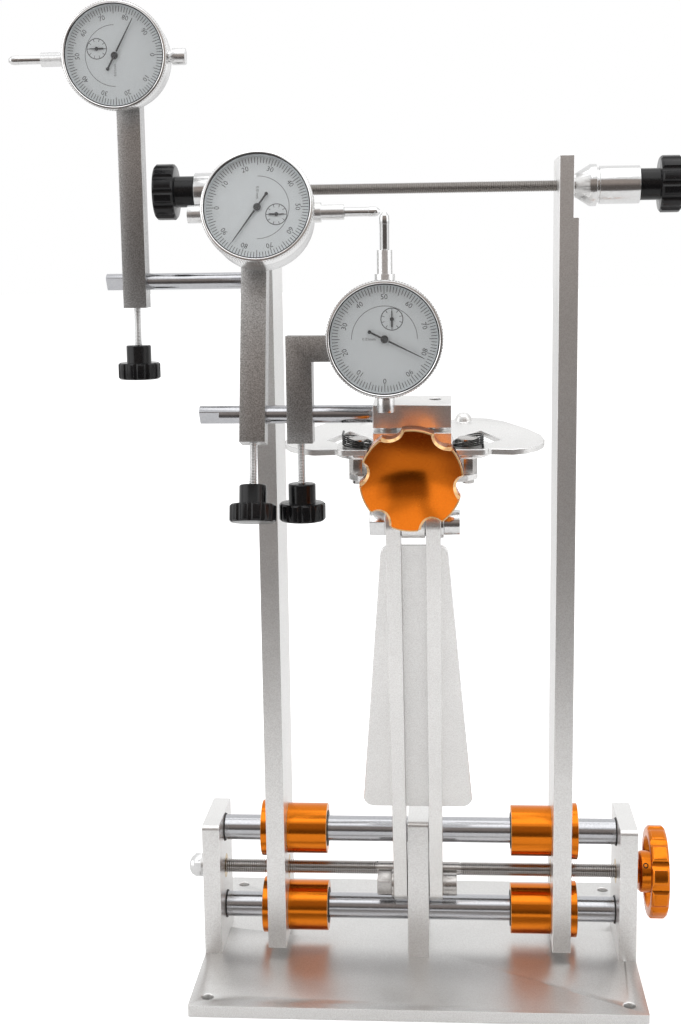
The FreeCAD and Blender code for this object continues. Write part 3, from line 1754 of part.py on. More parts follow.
def check_and_write():
    """Stop on any failed object or shape, then write one STEP file for each node."""
    doc.recompute()
    for item in doc.Objects:
        if "Invalid" in item.State or "Error" in item.State:
            raise RuntimeError(f"{item.Name} did not build: {item.State}")
    for item in nodes:
        if item.Shape.isNull() or not item.Shape.isValid():
            raise RuntimeError(f"{item.Label} has no valid shape")
    os.makedirs("parts", exist_ok=True)
    for item in nodes:
        item.Shape.exportStep(f"parts/{item.Label}.step")
    print(f"{len(nodes)} nodes written")


make_base()
make_lead_screw()
make_upright("left", -1)
make_upright("right", 1)
make_axle()
make_arm()
make_head()
make_jaw("left", -1)
make_jaw("right", 1)
make_calliper_knob()
make_gauges()
check_and_write()
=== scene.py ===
"""Bicycle wheel truing stand, dressed for its studio picture.

Metres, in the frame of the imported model: the origin is the centre of the base plate's
underside, +X to the right, +Y to the back and +Z up.
"""

import json
import logging
import math
from dataclasses import dataclass, field
from enum import Enum
from typing import Sequence

import bmesh
import bpy
from mathutils import Matrix, Vector


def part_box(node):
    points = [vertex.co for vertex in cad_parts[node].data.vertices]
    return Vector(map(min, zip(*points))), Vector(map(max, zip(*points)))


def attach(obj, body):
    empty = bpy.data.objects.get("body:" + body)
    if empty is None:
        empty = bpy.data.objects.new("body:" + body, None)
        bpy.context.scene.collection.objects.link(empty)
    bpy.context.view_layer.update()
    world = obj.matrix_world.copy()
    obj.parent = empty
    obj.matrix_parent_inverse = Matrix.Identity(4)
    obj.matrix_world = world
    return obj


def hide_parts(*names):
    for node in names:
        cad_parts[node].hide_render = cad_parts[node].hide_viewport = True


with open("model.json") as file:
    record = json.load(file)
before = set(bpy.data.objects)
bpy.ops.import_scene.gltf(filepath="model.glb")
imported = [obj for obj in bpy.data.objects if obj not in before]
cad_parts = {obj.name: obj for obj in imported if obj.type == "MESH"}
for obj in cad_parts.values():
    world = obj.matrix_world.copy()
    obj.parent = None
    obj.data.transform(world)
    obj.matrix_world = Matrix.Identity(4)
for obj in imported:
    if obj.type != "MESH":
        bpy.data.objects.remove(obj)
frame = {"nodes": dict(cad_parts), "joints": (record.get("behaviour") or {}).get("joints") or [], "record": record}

LOG = logging.getLogger("truing_stand")
MM = 0.001
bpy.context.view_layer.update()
JOINTS = {joint["name"]: joint for joint in frame["joints"]}
Colour = tuple[float, float, float]
Point = tuple[float, float, float]
Outline = Sequence[tuple[float, float]]
Tree = bpy.types.NodeTree
Node = bpy.types.Node
Socket = bpy.types.NodeSocket
Shape = bmesh.types.BMesh

# Speckle: colour ramp's stops, share and repeat of the broad pattern, depth of the surface
RAMP_STOPS = (0.35, 0.65)
BROAD_SHARE = 0.12
BROAD_REPEAT = 60
BUMP_DEPTH = 0.2 * MM

# Threads: crest's flat as shares of the pitch, facets in a turn, core as a share of the depth
THREAD_FLAT = (0.34, 0.66)
THREAD_STEPS = 14
THREAD_CORE = 0.1

# Points closer than MERGE are one point, and NEAR is a length too small to see
MERGE = 1e-6
NEAR = 0.01 * MM
ACROSS = Vector((1, 0, 0))

# Where each gauge's long hand rests, in degrees clockwise from the cap
HAND_ANGLES = {1: -61.3, 2: -55.2, 3: -63.8}


class Axis(Enum):
    """Direction of a turned piece's axis, as the turn that takes +Z there."""

    RIGHT = (math.pi / 2, "Y")
    LEFT = (-math.pi / 2, "Y")
    BACK = (-math.pi / 2, "X")

    def matrix(self) -> Matrix:
        """Rotation that takes +Z to this direction."""
        angle, about = self.value
        return Matrix.Rotation(angle, 4, about)


@dataclass(frozen=True)
class Finish:
    """Finish of a surface, as a node material of the same name."""

    name: str

    def material(self) -> bpy.types.Material:
        """Node material of the finish, made once and then reused."""
        if self.name not in bpy.data.materials:
            self.fill(*node_material(self.name))
        return bpy.data.materials[self.name]

    def fill(self, tree: Tree, shader: Node) -> None:
        """Set up the shader and the nodes in front of it."""
        raise NotImplementedError


@dataclass(frozen=True)
class Metal(Finish):
    """Metal finish with a fine speckle in its colour, roughness and surface."""

    colour: Colour
    speckle: Colour
    roughness: float = 0.35
    metallic: float = 0.9
    grain: float = 2200.0
    bump: float = 0.12
    spread: float = 0.15

    def fill(self, tree: Tree, shader: Node) -> None:
        """Speckle in the colour, the roughness and the surface."""
        fine = noise(tree, self.grain, 2.0)
        broad = noise(tree, self.grain / BROAD_REPEAT, 2.0)
        blend = mix_colours(tree, fine, self.colour, self.speckle)
        wide = tree.nodes.new("ShaderNodeMix")
        wide.data_type = "RGBA"
        wide.blend_type = "MULTIPLY"
        wide.inputs["Factor"].default_value = BROAD_SHARE
        tree.links.new(blend, wide.inputs["A"])
        tree.links.new(broad, wide.inputs["B"])
        tree.links.new(wide.outputs["Result"], shader.inputs["Base Color"])
        rough = tree.nodes.new("ShaderNodeMapRange")
        rough.inputs["To Min"].default_value = self.roughness * (1 - self.spread)
        rough.inputs["To Max"].default_value = self.roughness * (1 + self.spread)
        tree.links.new(fine, rough.inputs["Value"])
        tree.links.new(rough.outputs["Result"], shader.inputs["Roughness"])
        shader.inputs["Metallic"].default_value = self.metallic
        add_bump(tree, shader, fine, self.bump)


@dataclass(frozen=True)
class Plastic(Finish):
    """Moulded plastic or enamel with a faint surface texture."""

    colour: Colour
    roughness: float = 0.35
    grain: float = 900.0
    bump: float = 0.06
    darkening: float = 0.18
    gloss: float = 0.5

    def fill(self, tree: Tree, shader: Node) -> None:
        """Faint grain in the colour and the surface."""
        fine = noise(tree, self.grain, 3.0)
        darker = tuple(channel * (1 - self.darkening) for channel in self.colour)
        blend = mix_colours(tree, fine, self.colour, darker)
        tree.links.new(blend, shader.inputs["Base Color"])
        shader.inputs["Roughness"].default_value = self.roughness
        shader.inputs["Specular IOR Level"].default_value = self.gloss
        add_bump(tree, shader, fine, self.bump)


@dataclass(frozen=True)
class Crystal(Finish):
    """Thin clear cover of a dial."""

    opacity: float = 0.05
    roughness: float = 0.03
    grain: float = 120.0
    tints: tuple[Colour, Colour] = ((0.95, 0.97, 1.0), (0.9, 0.93, 0.97))

    def fill(self, tree: Tree, shader: Node) -> None:
        """Nearly clear, with a faint tint."""
        blend = mix_colours(tree, noise(tree, self.grain, 1.0), *self.tints)
        tree.links.new(blend, shader.inputs["Base Color"])
        shader.inputs["Roughness"].default_value = self.roughness
        shader.inputs["Alpha"].default_value = self.opacity


def node_material(name: str) -> tuple[Tree, Node]:
    """New node material of this name, as its node tree and its shader node."""
    material = bpy.data.materials.new(name)
    material.use_nodes = True
    return material.node_tree, material.node_tree.nodes["Principled BSDF"]


def noise(tree: Tree, scale: float, detail: float) -> Socket:
    """Noise pattern on the object's own coordinates.

    Args:
        tree: Node tree that gets the nodes.
        scale: Repeats in each metre.
        detail: Octaves of the pattern.

    Returns:
        The pattern's value socket.
    """
    coords = tree.nodes.new("ShaderNodeTexCoord")
    node = tree.nodes.new("ShaderNodeTexNoise")
    node.inputs["Scale"].default_value = scale
    node.inputs["Detail"].default_value = detail
    tree.links.new(coords.outputs["Object"], node.inputs["Vector"])
    return node.outputs["Fac"]


def mix_colours(tree: Tree, factor: Socket, first: Colour, second: Colour) -> Socket:
    """Colour ramp between two colours.

    Args:
        tree: Node tree that gets the node.
        factor: Value that picks the colour.
        first: Colour at low values.
        second: Colour at high values.

    Returns:
        The colour socket.
    """
    ramp = tree.nodes.new("ShaderNodeValToRGB")
    for stop, place, colour in zip(ramp.color_ramp.elements, RAMP_STOPS, (first, second)):
        stop.position = place
        stop.color = (*colour, 1.0)
    tree.links.new(factor, ramp.inputs["Fac"])
    return ramp.outputs["Color"]


def add_bump(tree: Tree, shader: Node, height: Socket, strength: float) -> None:
    """Surface texture from a height value.

    Args:
        tree: Node tree that gets the node.
        shader: Shader whose normal is bent.
        height: Height value.
        strength: How strong the texture is.
    """
    bump = tree.nodes.new("ShaderNodeBump")
    bump.inputs["Strength"].default_value = strength
    bump.inputs["Distance"].default_value = BUMP_DEPTH
    tree.links.new(height, bump.inputs["Height"])
    tree.links.new(bump.outputs["Normal"], shader.inputs["Normal"])


SILVER = Metal("silver anodised", (0.96, 0.96, 0.95), (0.82, 0.81, 0.80), 0.33, 0.88, 1900.0, 0.3)
BASE = Metal("base anodised", (0.82, 0.82, 0.81), (0.70, 0.69, 0.68), 0.33, 0.88, 1900.0, 0.25)
EDGE = Metal("cut edge", (0.97, 0.97, 0.97), (0.93, 0.93, 0.93), 0.25, 0.7, 1200.0, 0.02)
SPECKLED = Metal("speckled grey", (0.70, 0.70, 0.70), (0.36, 0.355, 0.35), 0.3, 0.95, 1700.0, 0.5)
POLISHED = Metal("ground steel", (0.55, 0.555, 0.575), (0.50, 0.505, 0.53), 0.18, 1.0, 900.0, 0.02)
BRIGHT = Metal("bright plated", (0.78, 0.78, 0.78), (0.72, 0.72, 0.72), 0.17, 1.0, 700.0, 0.01)
CHROME = Metal("chrome ring", (0.90, 0.90, 0.90), (0.86, 0.86, 0.86), 0.2, 1.0, 700.0, 0.01)
ZINC = Metal("zinc plated", (0.60, 0.58, 0.565), (0.48, 0.465, 0.45), 0.26, 1.0, 1400.0, 0.05)
AXLE_STEEL = Metal("axle steel", (0.30, 0.28, 0.265), (0.24, 0.225, 0.21), 0.36, 1.0, 1400.0, 0.03)
BRONZE = Metal("bronze", (0.52, 0.42, 0.26), (0.44, 0.35, 0.21), 0.35, 1.0, 1200.0)
ORANGE = Metal(
    "orange anodised", (0.80, 0.215, 0.014), (0.74, 0.19, 0.011), 0.17, 0.97, 1600.0, 0.03
)
# Darker copy of the orange anodised finish for the inside of the dish: painted shade in the hollow
DISH_SHADE_ORANGE = Metal("orange dish", (0.56, 0.135, 0.009), (0.50, 0.115, 0.007), 0.26, 0.98, 1600.0, 0.03)
ORANGE_EDGE = Metal(
    "orange cut edge", (0.98, 0.62, 0.30), (0.95, 0.56, 0.24), 0.25, 0.6, 1200.0, 0.02
)
CASE = Metal("gauge case", (0.82, 0.82, 0.82), (0.74, 0.74, 0.74), 0.25, 0.9, 1200.0, 0.03)
DARK_RING = Metal("dark ring", (0.08, 0.08, 0.085), (0.05, 0.05, 0.05), 0.3, 0.6, 1200.0, 0.03)
SPRING_STEEL = Metal("black spring steel", (0.03, 0.03, 0.03), (0.05, 0.05, 0.05), 0.35, 0.7)
BLACK = Plastic("black knob", (0.008, 0.008, 0.009), 0.2, gloss=0.3)
# Black of the sliders' seals, and of the rings at the end plates that paint shade where the rods enter
SEAL_AND_GAP_SHADE = Plastic("black seal", (0.015, 0.015, 0.016), 0.5)
DIAL = Plastic("dial enamel", (0.68, 0.72, 0.735), 0.5, 300.0, 0.01, 0.03)
PRINT = Plastic("dial print", (0.06, 0.06, 0.065), 0.55)
NEEDLE = Plastic("needle black", (0.008, 0.008, 0.008), 0.4)
CLEAR = Crystal("clear cover")

# Nodes that aren't named here are silver
NODE_FINISHES = {
    "base_plate": BASE, "base_screws": ZINC, "screw_bushes": BRONZE, "guide_rods": POLISHED,
    "arm_pivot_bolt": ZINC, "lead_screw": ZINC, "handwheel": ORANGE, "end_nut": BRIGHT,
    "left_sliders": ORANGE, "right_sliders": ORANGE, "left_screw_nut": BRONZE,
    "right_screw_nut": BRONZE, "left_axle_cone": BRIGHT, "right_axle_cone": BRIGHT,
    "axle_rod": AXLE_STEEL, "upper_gauge_rod": POLISHED, "left_axle_knob": BLACK,
    "right_axle_knob": BLACK, "head_pivot_bolt": BRIGHT, "lower_gauge_rod": POLISHED,
    "jaw_pivot_bolts": ZINC, "jaw_springs": SPRING_STEEL, "calliper_knob": ORANGE,
    "calliper_screw": ZINC,
}
GAUGE_FINISHES = {
    "bar": SPECKLED, "clamp_knob": BLACK, "case": CASE, "bezel": BRIGHT, "dial": DIAL,
    "hand": NEEDLE, "small_hand": NEEDLE, "plunger": BRIGHT,
}
EDGE_FINISHES = {SILVER: EDGE, BASE: EDGE, ORANGE: ORANGE_EDGE}


def finish_of(node: str) -> Finish:
    """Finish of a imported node."""
    if node.startswith("gauge_"):
        return GAUGE_FINISHES[node.split("_", 2)[2]]
    return NODE_FINISHES.get(node, SILVER)


def linked(name: str, data: bpy.types.ID) -> bpy.types.Object:
    """New object of this name in the scene, with this data."""
    item = bpy.data.objects.new(name, data)
    bpy.context.scene.collection.objects.link(item)
    return item


def spun(outline: Outline, steps: int, closed: bool) -> Shape:
    """Outline spun once round the Z axis.

    Args:
        outline: Corners as (along the axis, radius).
        steps: Facets round the axis.
        closed: Whether the last corner joins the first one.

    Returns:
        The turned shape.
    """
    part = bmesh.new()
    corners = [part.verts.new((radius, 0, along)) for along, radius in outline]
    following = corners[1:] + (corners[:1] if closed else [])
    edges = [part.edges.new(pair) for pair in zip(corners, following)]
    bmesh.ops.spin(
        part, geom=corners + edges, axis=(0, 0, 1), cent=(0, 0, 0), steps=steps,
        angle=2 * math.pi, use_merge=True,
    )
    bmesh.ops.remove_doubles(part, verts=part.verts, dist=MERGE)
    return part


@dataclass
class Builder:
    """Collects one piece's mesh and hands it over finished."""

    name: str
    body: str
    finish: Finish
    slot: str
    edge_finish: Finish | None = None
    mesh: Shape = field(default_factory=bmesh.new)

    def lathe(self, outline: Outline, place: Matrix, steps: int) -> None:
        """Spin an outline about the local Z axis.

        Args:
            outline: Corners as (along the axis, radius), closed to the first one.
            place: Matrix that puts the shape where it belongs.
            steps: Facets round the axis.
        """
        part = spun(outline, steps, True)
        bmesh.ops.recalc_face_normals(part, faces=part.faces)
        self.add(part, place)

    def ring(
        self, span: tuple[float, float], radii: tuple[float, float], place: Matrix, steps: int = 96
    ) -> None:
        """Ring round the local Z axis, or a disc where the first radius is 0.

        Args:
            span: Where it starts and ends along the axis.
            radii: Its two radii.
            place: Matrix that puts the shape where it belongs.
            steps: Facets round the axis.
        """
        outline = [
            (span[0], radii[0]), (span[0], radii[1]), (span[1], radii[1]), (span[1], radii[0]),
        ]
        self.lathe(outline, place, steps)

    def block(self, size: Sequence[float], place: Matrix) -> None:
        """Box centred on its place.

        Args:
            size: Lengths along the local axes.
            place: Matrix that puts the shape where it belongs.
        """
        self.wedge(size, 1.0, place)

    def wedge(self, size: Sequence[float], taper: float, place: Matrix) -> None:
        """Box whose far end, along the local Y axis, is narrower.

        Args:
            size: Lengths along the local axes.
            taper: Width of the far end as a share of the near one.
            place: Matrix that puts the shape where it belongs.
        """
        part = bmesh.new()
        bmesh.ops.create_cube(part, size=1.0)
        far = [vert for vert in part.verts if vert.co.y > 0]
        bmesh.ops.scale(part, vec=(taper, 1, 1), verts=far)
        bmesh.ops.scale(part, vec=Vector(size), verts=part.verts)
        self.add(part, place)

    def thread(self, root: float, crest: float, pitch: float, length: float, place: Matrix) -> None:
        """Right-handed helical thread along the local Z axis, closed by a core.

        Args:
            root: Radius at the bottom of the thread.
            crest: Radius at the top of the thread.
            pitch: Rise in a turn.
            length: Length of the thread.
            place: Matrix that puts the shape where it belongs.
        """
        turns = int(length / pitch) - 1
        part = bmesh.new()
        start, end = (pitch * share for share in THREAD_FLAT)
        outline = [(0, root), (start, crest), (end, crest), (pitch, root)]
        corners = [part.verts.new((radius, 0, along)) for along, radius in outline]
        edges = [part.edges.new(pair) for pair in zip(corners, corners[1:])]
        bmesh.ops.spin(
            part, geom=corners + edges, axis=(0, 0, 1), cent=(0, 0, 0),
            dvec=(0, 0, pitch / THREAD_STEPS), steps=THREAD_STEPS * turns,
            angle=2 * math.pi * turns, use_duplicate=False,
        )
        bmesh.ops.remove_doubles(part, verts=part.verts, dist=MERGE)
        bmesh.ops.recalc_face_normals(part, faces=part.faces)
        self.add(part, place)
        self.ring((0, length), (0, root + (crest - root) * THREAD_CORE), place, 20)

    def copy_node(
        self, node: str, width: float, angle: float = 32.0, roll: float = 0.0,
        cut: tuple[Vector, Vector] | None = None,
    ) -> None:
        """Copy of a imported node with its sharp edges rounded.

        Args:
            node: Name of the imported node.
            width: Width of the rounding.
            angle: Sharpest fold, in degrees, that stays as it is.
            roll: Turn about the node's own X axis, in degrees.
            cut: Point and normal of a plane; what lies past it is left off.
        """
        part = bmesh.new()
        part.from_mesh(frame["nodes"][node].data)
        bmesh.ops.remove_doubles(part, verts=part.verts, dist=MERGE)
        if cut:
            geometry = part.verts[:] + part.edges[:] + part.faces[:]
            result = bmesh.ops.bisect_plane(
                part, geom=geometry, plane_co=cut[0], plane_no=cut[1], clear_outer=True,
            )
            rim = [item for item in result["geom_cut"] if isinstance(item, bmesh.types.BMEdge)]
            bmesh.ops.holes_fill(part, edges=rim, sides=0)
        if roll:
            low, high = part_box(node)
            bmesh.ops.rotate(
                part, verts=part.verts, cent=(low + high) / 2,
                matrix=Matrix.Rotation(math.radians(roll), 3, "X"),
            )
        bmesh.ops.dissolve_limit(
            part, angle_limit=math.radians(0.5), verts=part.verts, edges=part.edges,
            delimit={"NORMAL"},
        )
        sharp = [
            edge for edge in part.edges
            if len(edge.link_faces) == 2 and edge.calc_face_angle(0.0) > math.radians(angle)
        ]
        result = bmesh.ops.bevel(
            part, geom=sharp, offset=width, offset_type="OFFSET",
            segments=1 if self.edge_finish else 2, profile=0.5,
            affect="EDGES", clamp_overlap=True, material=-1,
        )
        if self.edge_finish:
            for face in result["faces"]:
                face.material_index = 1
        self.add(part, Matrix.Identity(4))

    def text(self, words: str, size: float, place: Matrix) -> None:
        """Flat printed words, centred on their place.

        Args:
            words: What is printed.
            size: Height of the letters.
            place: Matrix whose local X runs along the words and Z faces the reader.
        """
        curve = bpy.data.curves.new("print", "FONT")
        curve.body = words
        curve.size = size
        curve.align_x = "CENTER"
        curve.align_y = "CENTER"
        curve.resolution_u = 2
        holder = linked("print", curve)
        bpy.context.view_layer.update()
        mesh = bpy.data.meshes.new_from_object(holder)
        part = bmesh.new()
        part.from_mesh(mesh)
        bpy.data.objects.remove(holder)
        bpy.data.curves.remove(curve)
        bpy.data.meshes.remove(mesh)
        self.add(part, place)

    def add(self, part: Shape, place: Matrix) -> None:
        """Join a shape to the piece.

        Args:
            part: The shape, which is used up.
            place: Matrix that puts the shape where it belongs.
        """
        bmesh.ops.transform(part, matrix=place, verts=part.verts)
        if place.determinant() < 0:
            bmesh.ops.reverse_faces(part, faces=part.faces)
        holder = bpy.data.meshes.new("part")
        part.to_mesh(holder)
        part.free()
        self.mesh.from_mesh(holder)
        bpy.data.meshes.remove(holder)

    def done(self, *replaced: str, smooth: float = 35.0) -> bpy.types.Object:
        """Make the object, give it its finish and let it ride on its body.

        Args:
            replaced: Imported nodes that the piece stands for.
            smooth: Folds up to this angle, in degrees, are shaded smooth.

        Returns:
            The finished object.
        """
        mesh = bpy.data.meshes.new(self.name)
        self.mesh.to_mesh(mesh)
        self.mesh.free()
        mesh.shade_smooth()
        mesh.set_sharp_from_angle(angle=math.radians(smooth))
        piece = linked(self.name, mesh)
        mesh.materials.append(self.finish.material())
        if self.edge_finish:
            mesh.materials.append(self.edge_finish.material())
        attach(piece, self.body)
        if replaced:
            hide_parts(*replaced)
        LOG.info("%s: %d faces", self.name, len(mesh.polygons))
        return piece


def body_of(node: str) -> str:
    """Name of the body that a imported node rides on."""
    bodies = frame["record"]["behaviour"]["bodies"]
    return next(body for body, members in bodies.items() if node in members)


def slot_of(node: str) -> str:
    """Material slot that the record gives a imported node."""
    return next(
        part["material_slot"] for part in frame["record"]["subparts"] if part["node"] == node
    )


def on_node(
    name: str, node: str, finish: Finish | None = None, edge: Finish | None = None
) -> Builder:
    """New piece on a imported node's body, in its slot.

    Args:
        name: Name of the piece.
        node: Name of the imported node.
        finish: Finish of the piece, or None for the node's own.
        edge: Finish of the rounded edges.

    Returns:
        The empty piece.
    """
    return Builder(name, body_of(node), finish or finish_of(node), slot_of(node), edge)


def rounded(node: str, width: float) -> None:
    """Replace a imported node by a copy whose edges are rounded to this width."""
    builder = on_node(f"{node}_rounded", node, edge=EDGE_FINISHES.get(finish_of(node)))
    builder.copy_node(node, width)
    builder.done(node)


def joint_place(name: str) -> Vector:
    """Point on a hinge's axis."""
    return Vector(JOINTS[name]["pos_m"])


def joint_axis(name: str) -> Vector:
    """Direction of a joint's axis."""
    return Vector(JOINTS[name]["axis"]).normalized()


def frame_matrix(origin: Vector, across: Vector, back: Vector, up: Vector) -> Matrix:
    """Matrix of a local frame.

    Args:
        origin: Where the local origin lies.
        across: Direction of the local X axis.
        back: Direction of the local Y axis.
        up: Direction of the local Z axis.

    Returns:
        The matrix that takes local points to the part's frame.
    """
    turn = Matrix((across, back, up)).transposed().to_4x4()
    return Matrix.Translation(origin) @ turn


def shift(x: float, y: float, z: float) -> Matrix:
    """Matrix that moves by a distance along each axis."""
    return Matrix.Translation((x, y, z))


@dataclass
class PlainMetalwork:
    """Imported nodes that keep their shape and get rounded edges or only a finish."""

    wide_edge: float = 0.5 * MM
    fine_edge: float = 0.25 * MM
    flat_roll: float = 120.0
    wide: tuple[str, ...] = (
        "base_plate", "end_plates", "centre_post", "left_upright", "right_upright",
        "arm_bars",
    )
    fine: tuple[str, ...] = (
        "head_tongue", "head_bar", "head_blocks", "head_yoke", "left_jaw", "right_jaw",
        "arm_panel", "left_sliders", "right_sliders", "handwheel",
        "left_axle_knob", "right_axle_knob",
        "left_axle_cone", "right_axle_cone", "arm_pivot_bolt", "head_pivot_bolt",
        "end_nut", "jaw_pivot_bolts", "gauge_1_bar", "gauge_2_bar", "gauge_3_bar",
        "gauge_1_case", "gauge_2_case", "gauge_3_case",
        "gauge_1_plunger", "gauge_2_plunger", "gauge_3_plunger",
    )

    def build(self) -> None:
        """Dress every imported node."""
        for node, item in frame["nodes"].items():
            item.data.materials.clear()
            item.data.materials.append(finish_of(node).material())
        for node in self.wide:
            rounded(node, self.wide_edge)
        for node in self.fine:
            rounded(node, self.fine_edge)
        for node in ("upper_gauge_rod", "lower_gauge_rod"):
            builder = on_node(f"{node}_turned", node)
            builder.copy_node(node, self.fine_edge, roll=self.flat_roll)
            builder.done(node)


@dataclass
class Threads:
    """Threaded axle and lead screw."""

    axle_crest: float = 2.95 * MM
    axle_root: float = 2.5 * MM
    axle_pitch: float = 1.0 * MM
    screw_crest: float = 4.1 * MM
    screw_root: float = 3.3 * MM
    screw_pitch: float = 1.25 * MM
    plain_half: float = 24.0 * MM
    plain_radius: float = 3.9 * MM

    def build(self) -> None:
        """Make both threaded bars."""
        self.build_axle()
        self.build_lead_screw()

    def build_axle(self) -> None:
        """Axle thread over its whole length."""
        low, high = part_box("axle_rod")
        builder = on_node("axle_thread", "axle_rod")
        middle = (low + high) / 2
        place = shift(low.x, middle.y, middle.z) @ Axis.RIGHT.matrix()
        builder.thread(self.axle_root, self.axle_crest, self.axle_pitch, high.x - low.x, place)
        builder.done("axle_rod", smooth=60)

    def build_lead_screw(self) -> None:
        """Threads at both ends, drawn with the same hand, and the plain stretch between."""
        low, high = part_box("lead_screw")
        middle = (low + high) / 2
        builder = on_node("lead_screw_thread", "lead_screw")
        right = shift(self.plain_half, middle.y, middle.z) @ Axis.RIGHT.matrix()
        left = shift(-self.plain_half, middle.y, middle.z) @ Axis.LEFT.matrix()
        sizes = (self.screw_root, self.screw_crest, self.screw_pitch)
        builder.thread(*sizes, high.x - self.plain_half, right)
        builder.thread(*sizes, -low.x - self.plain_half, left)
        plain = 2 * self.plain_half
        builder.ring((0, plain), (0, self.plain_radius), left @ shift(0, 0, -plain), 32)
        builder.done("lead_screw", smooth=60)


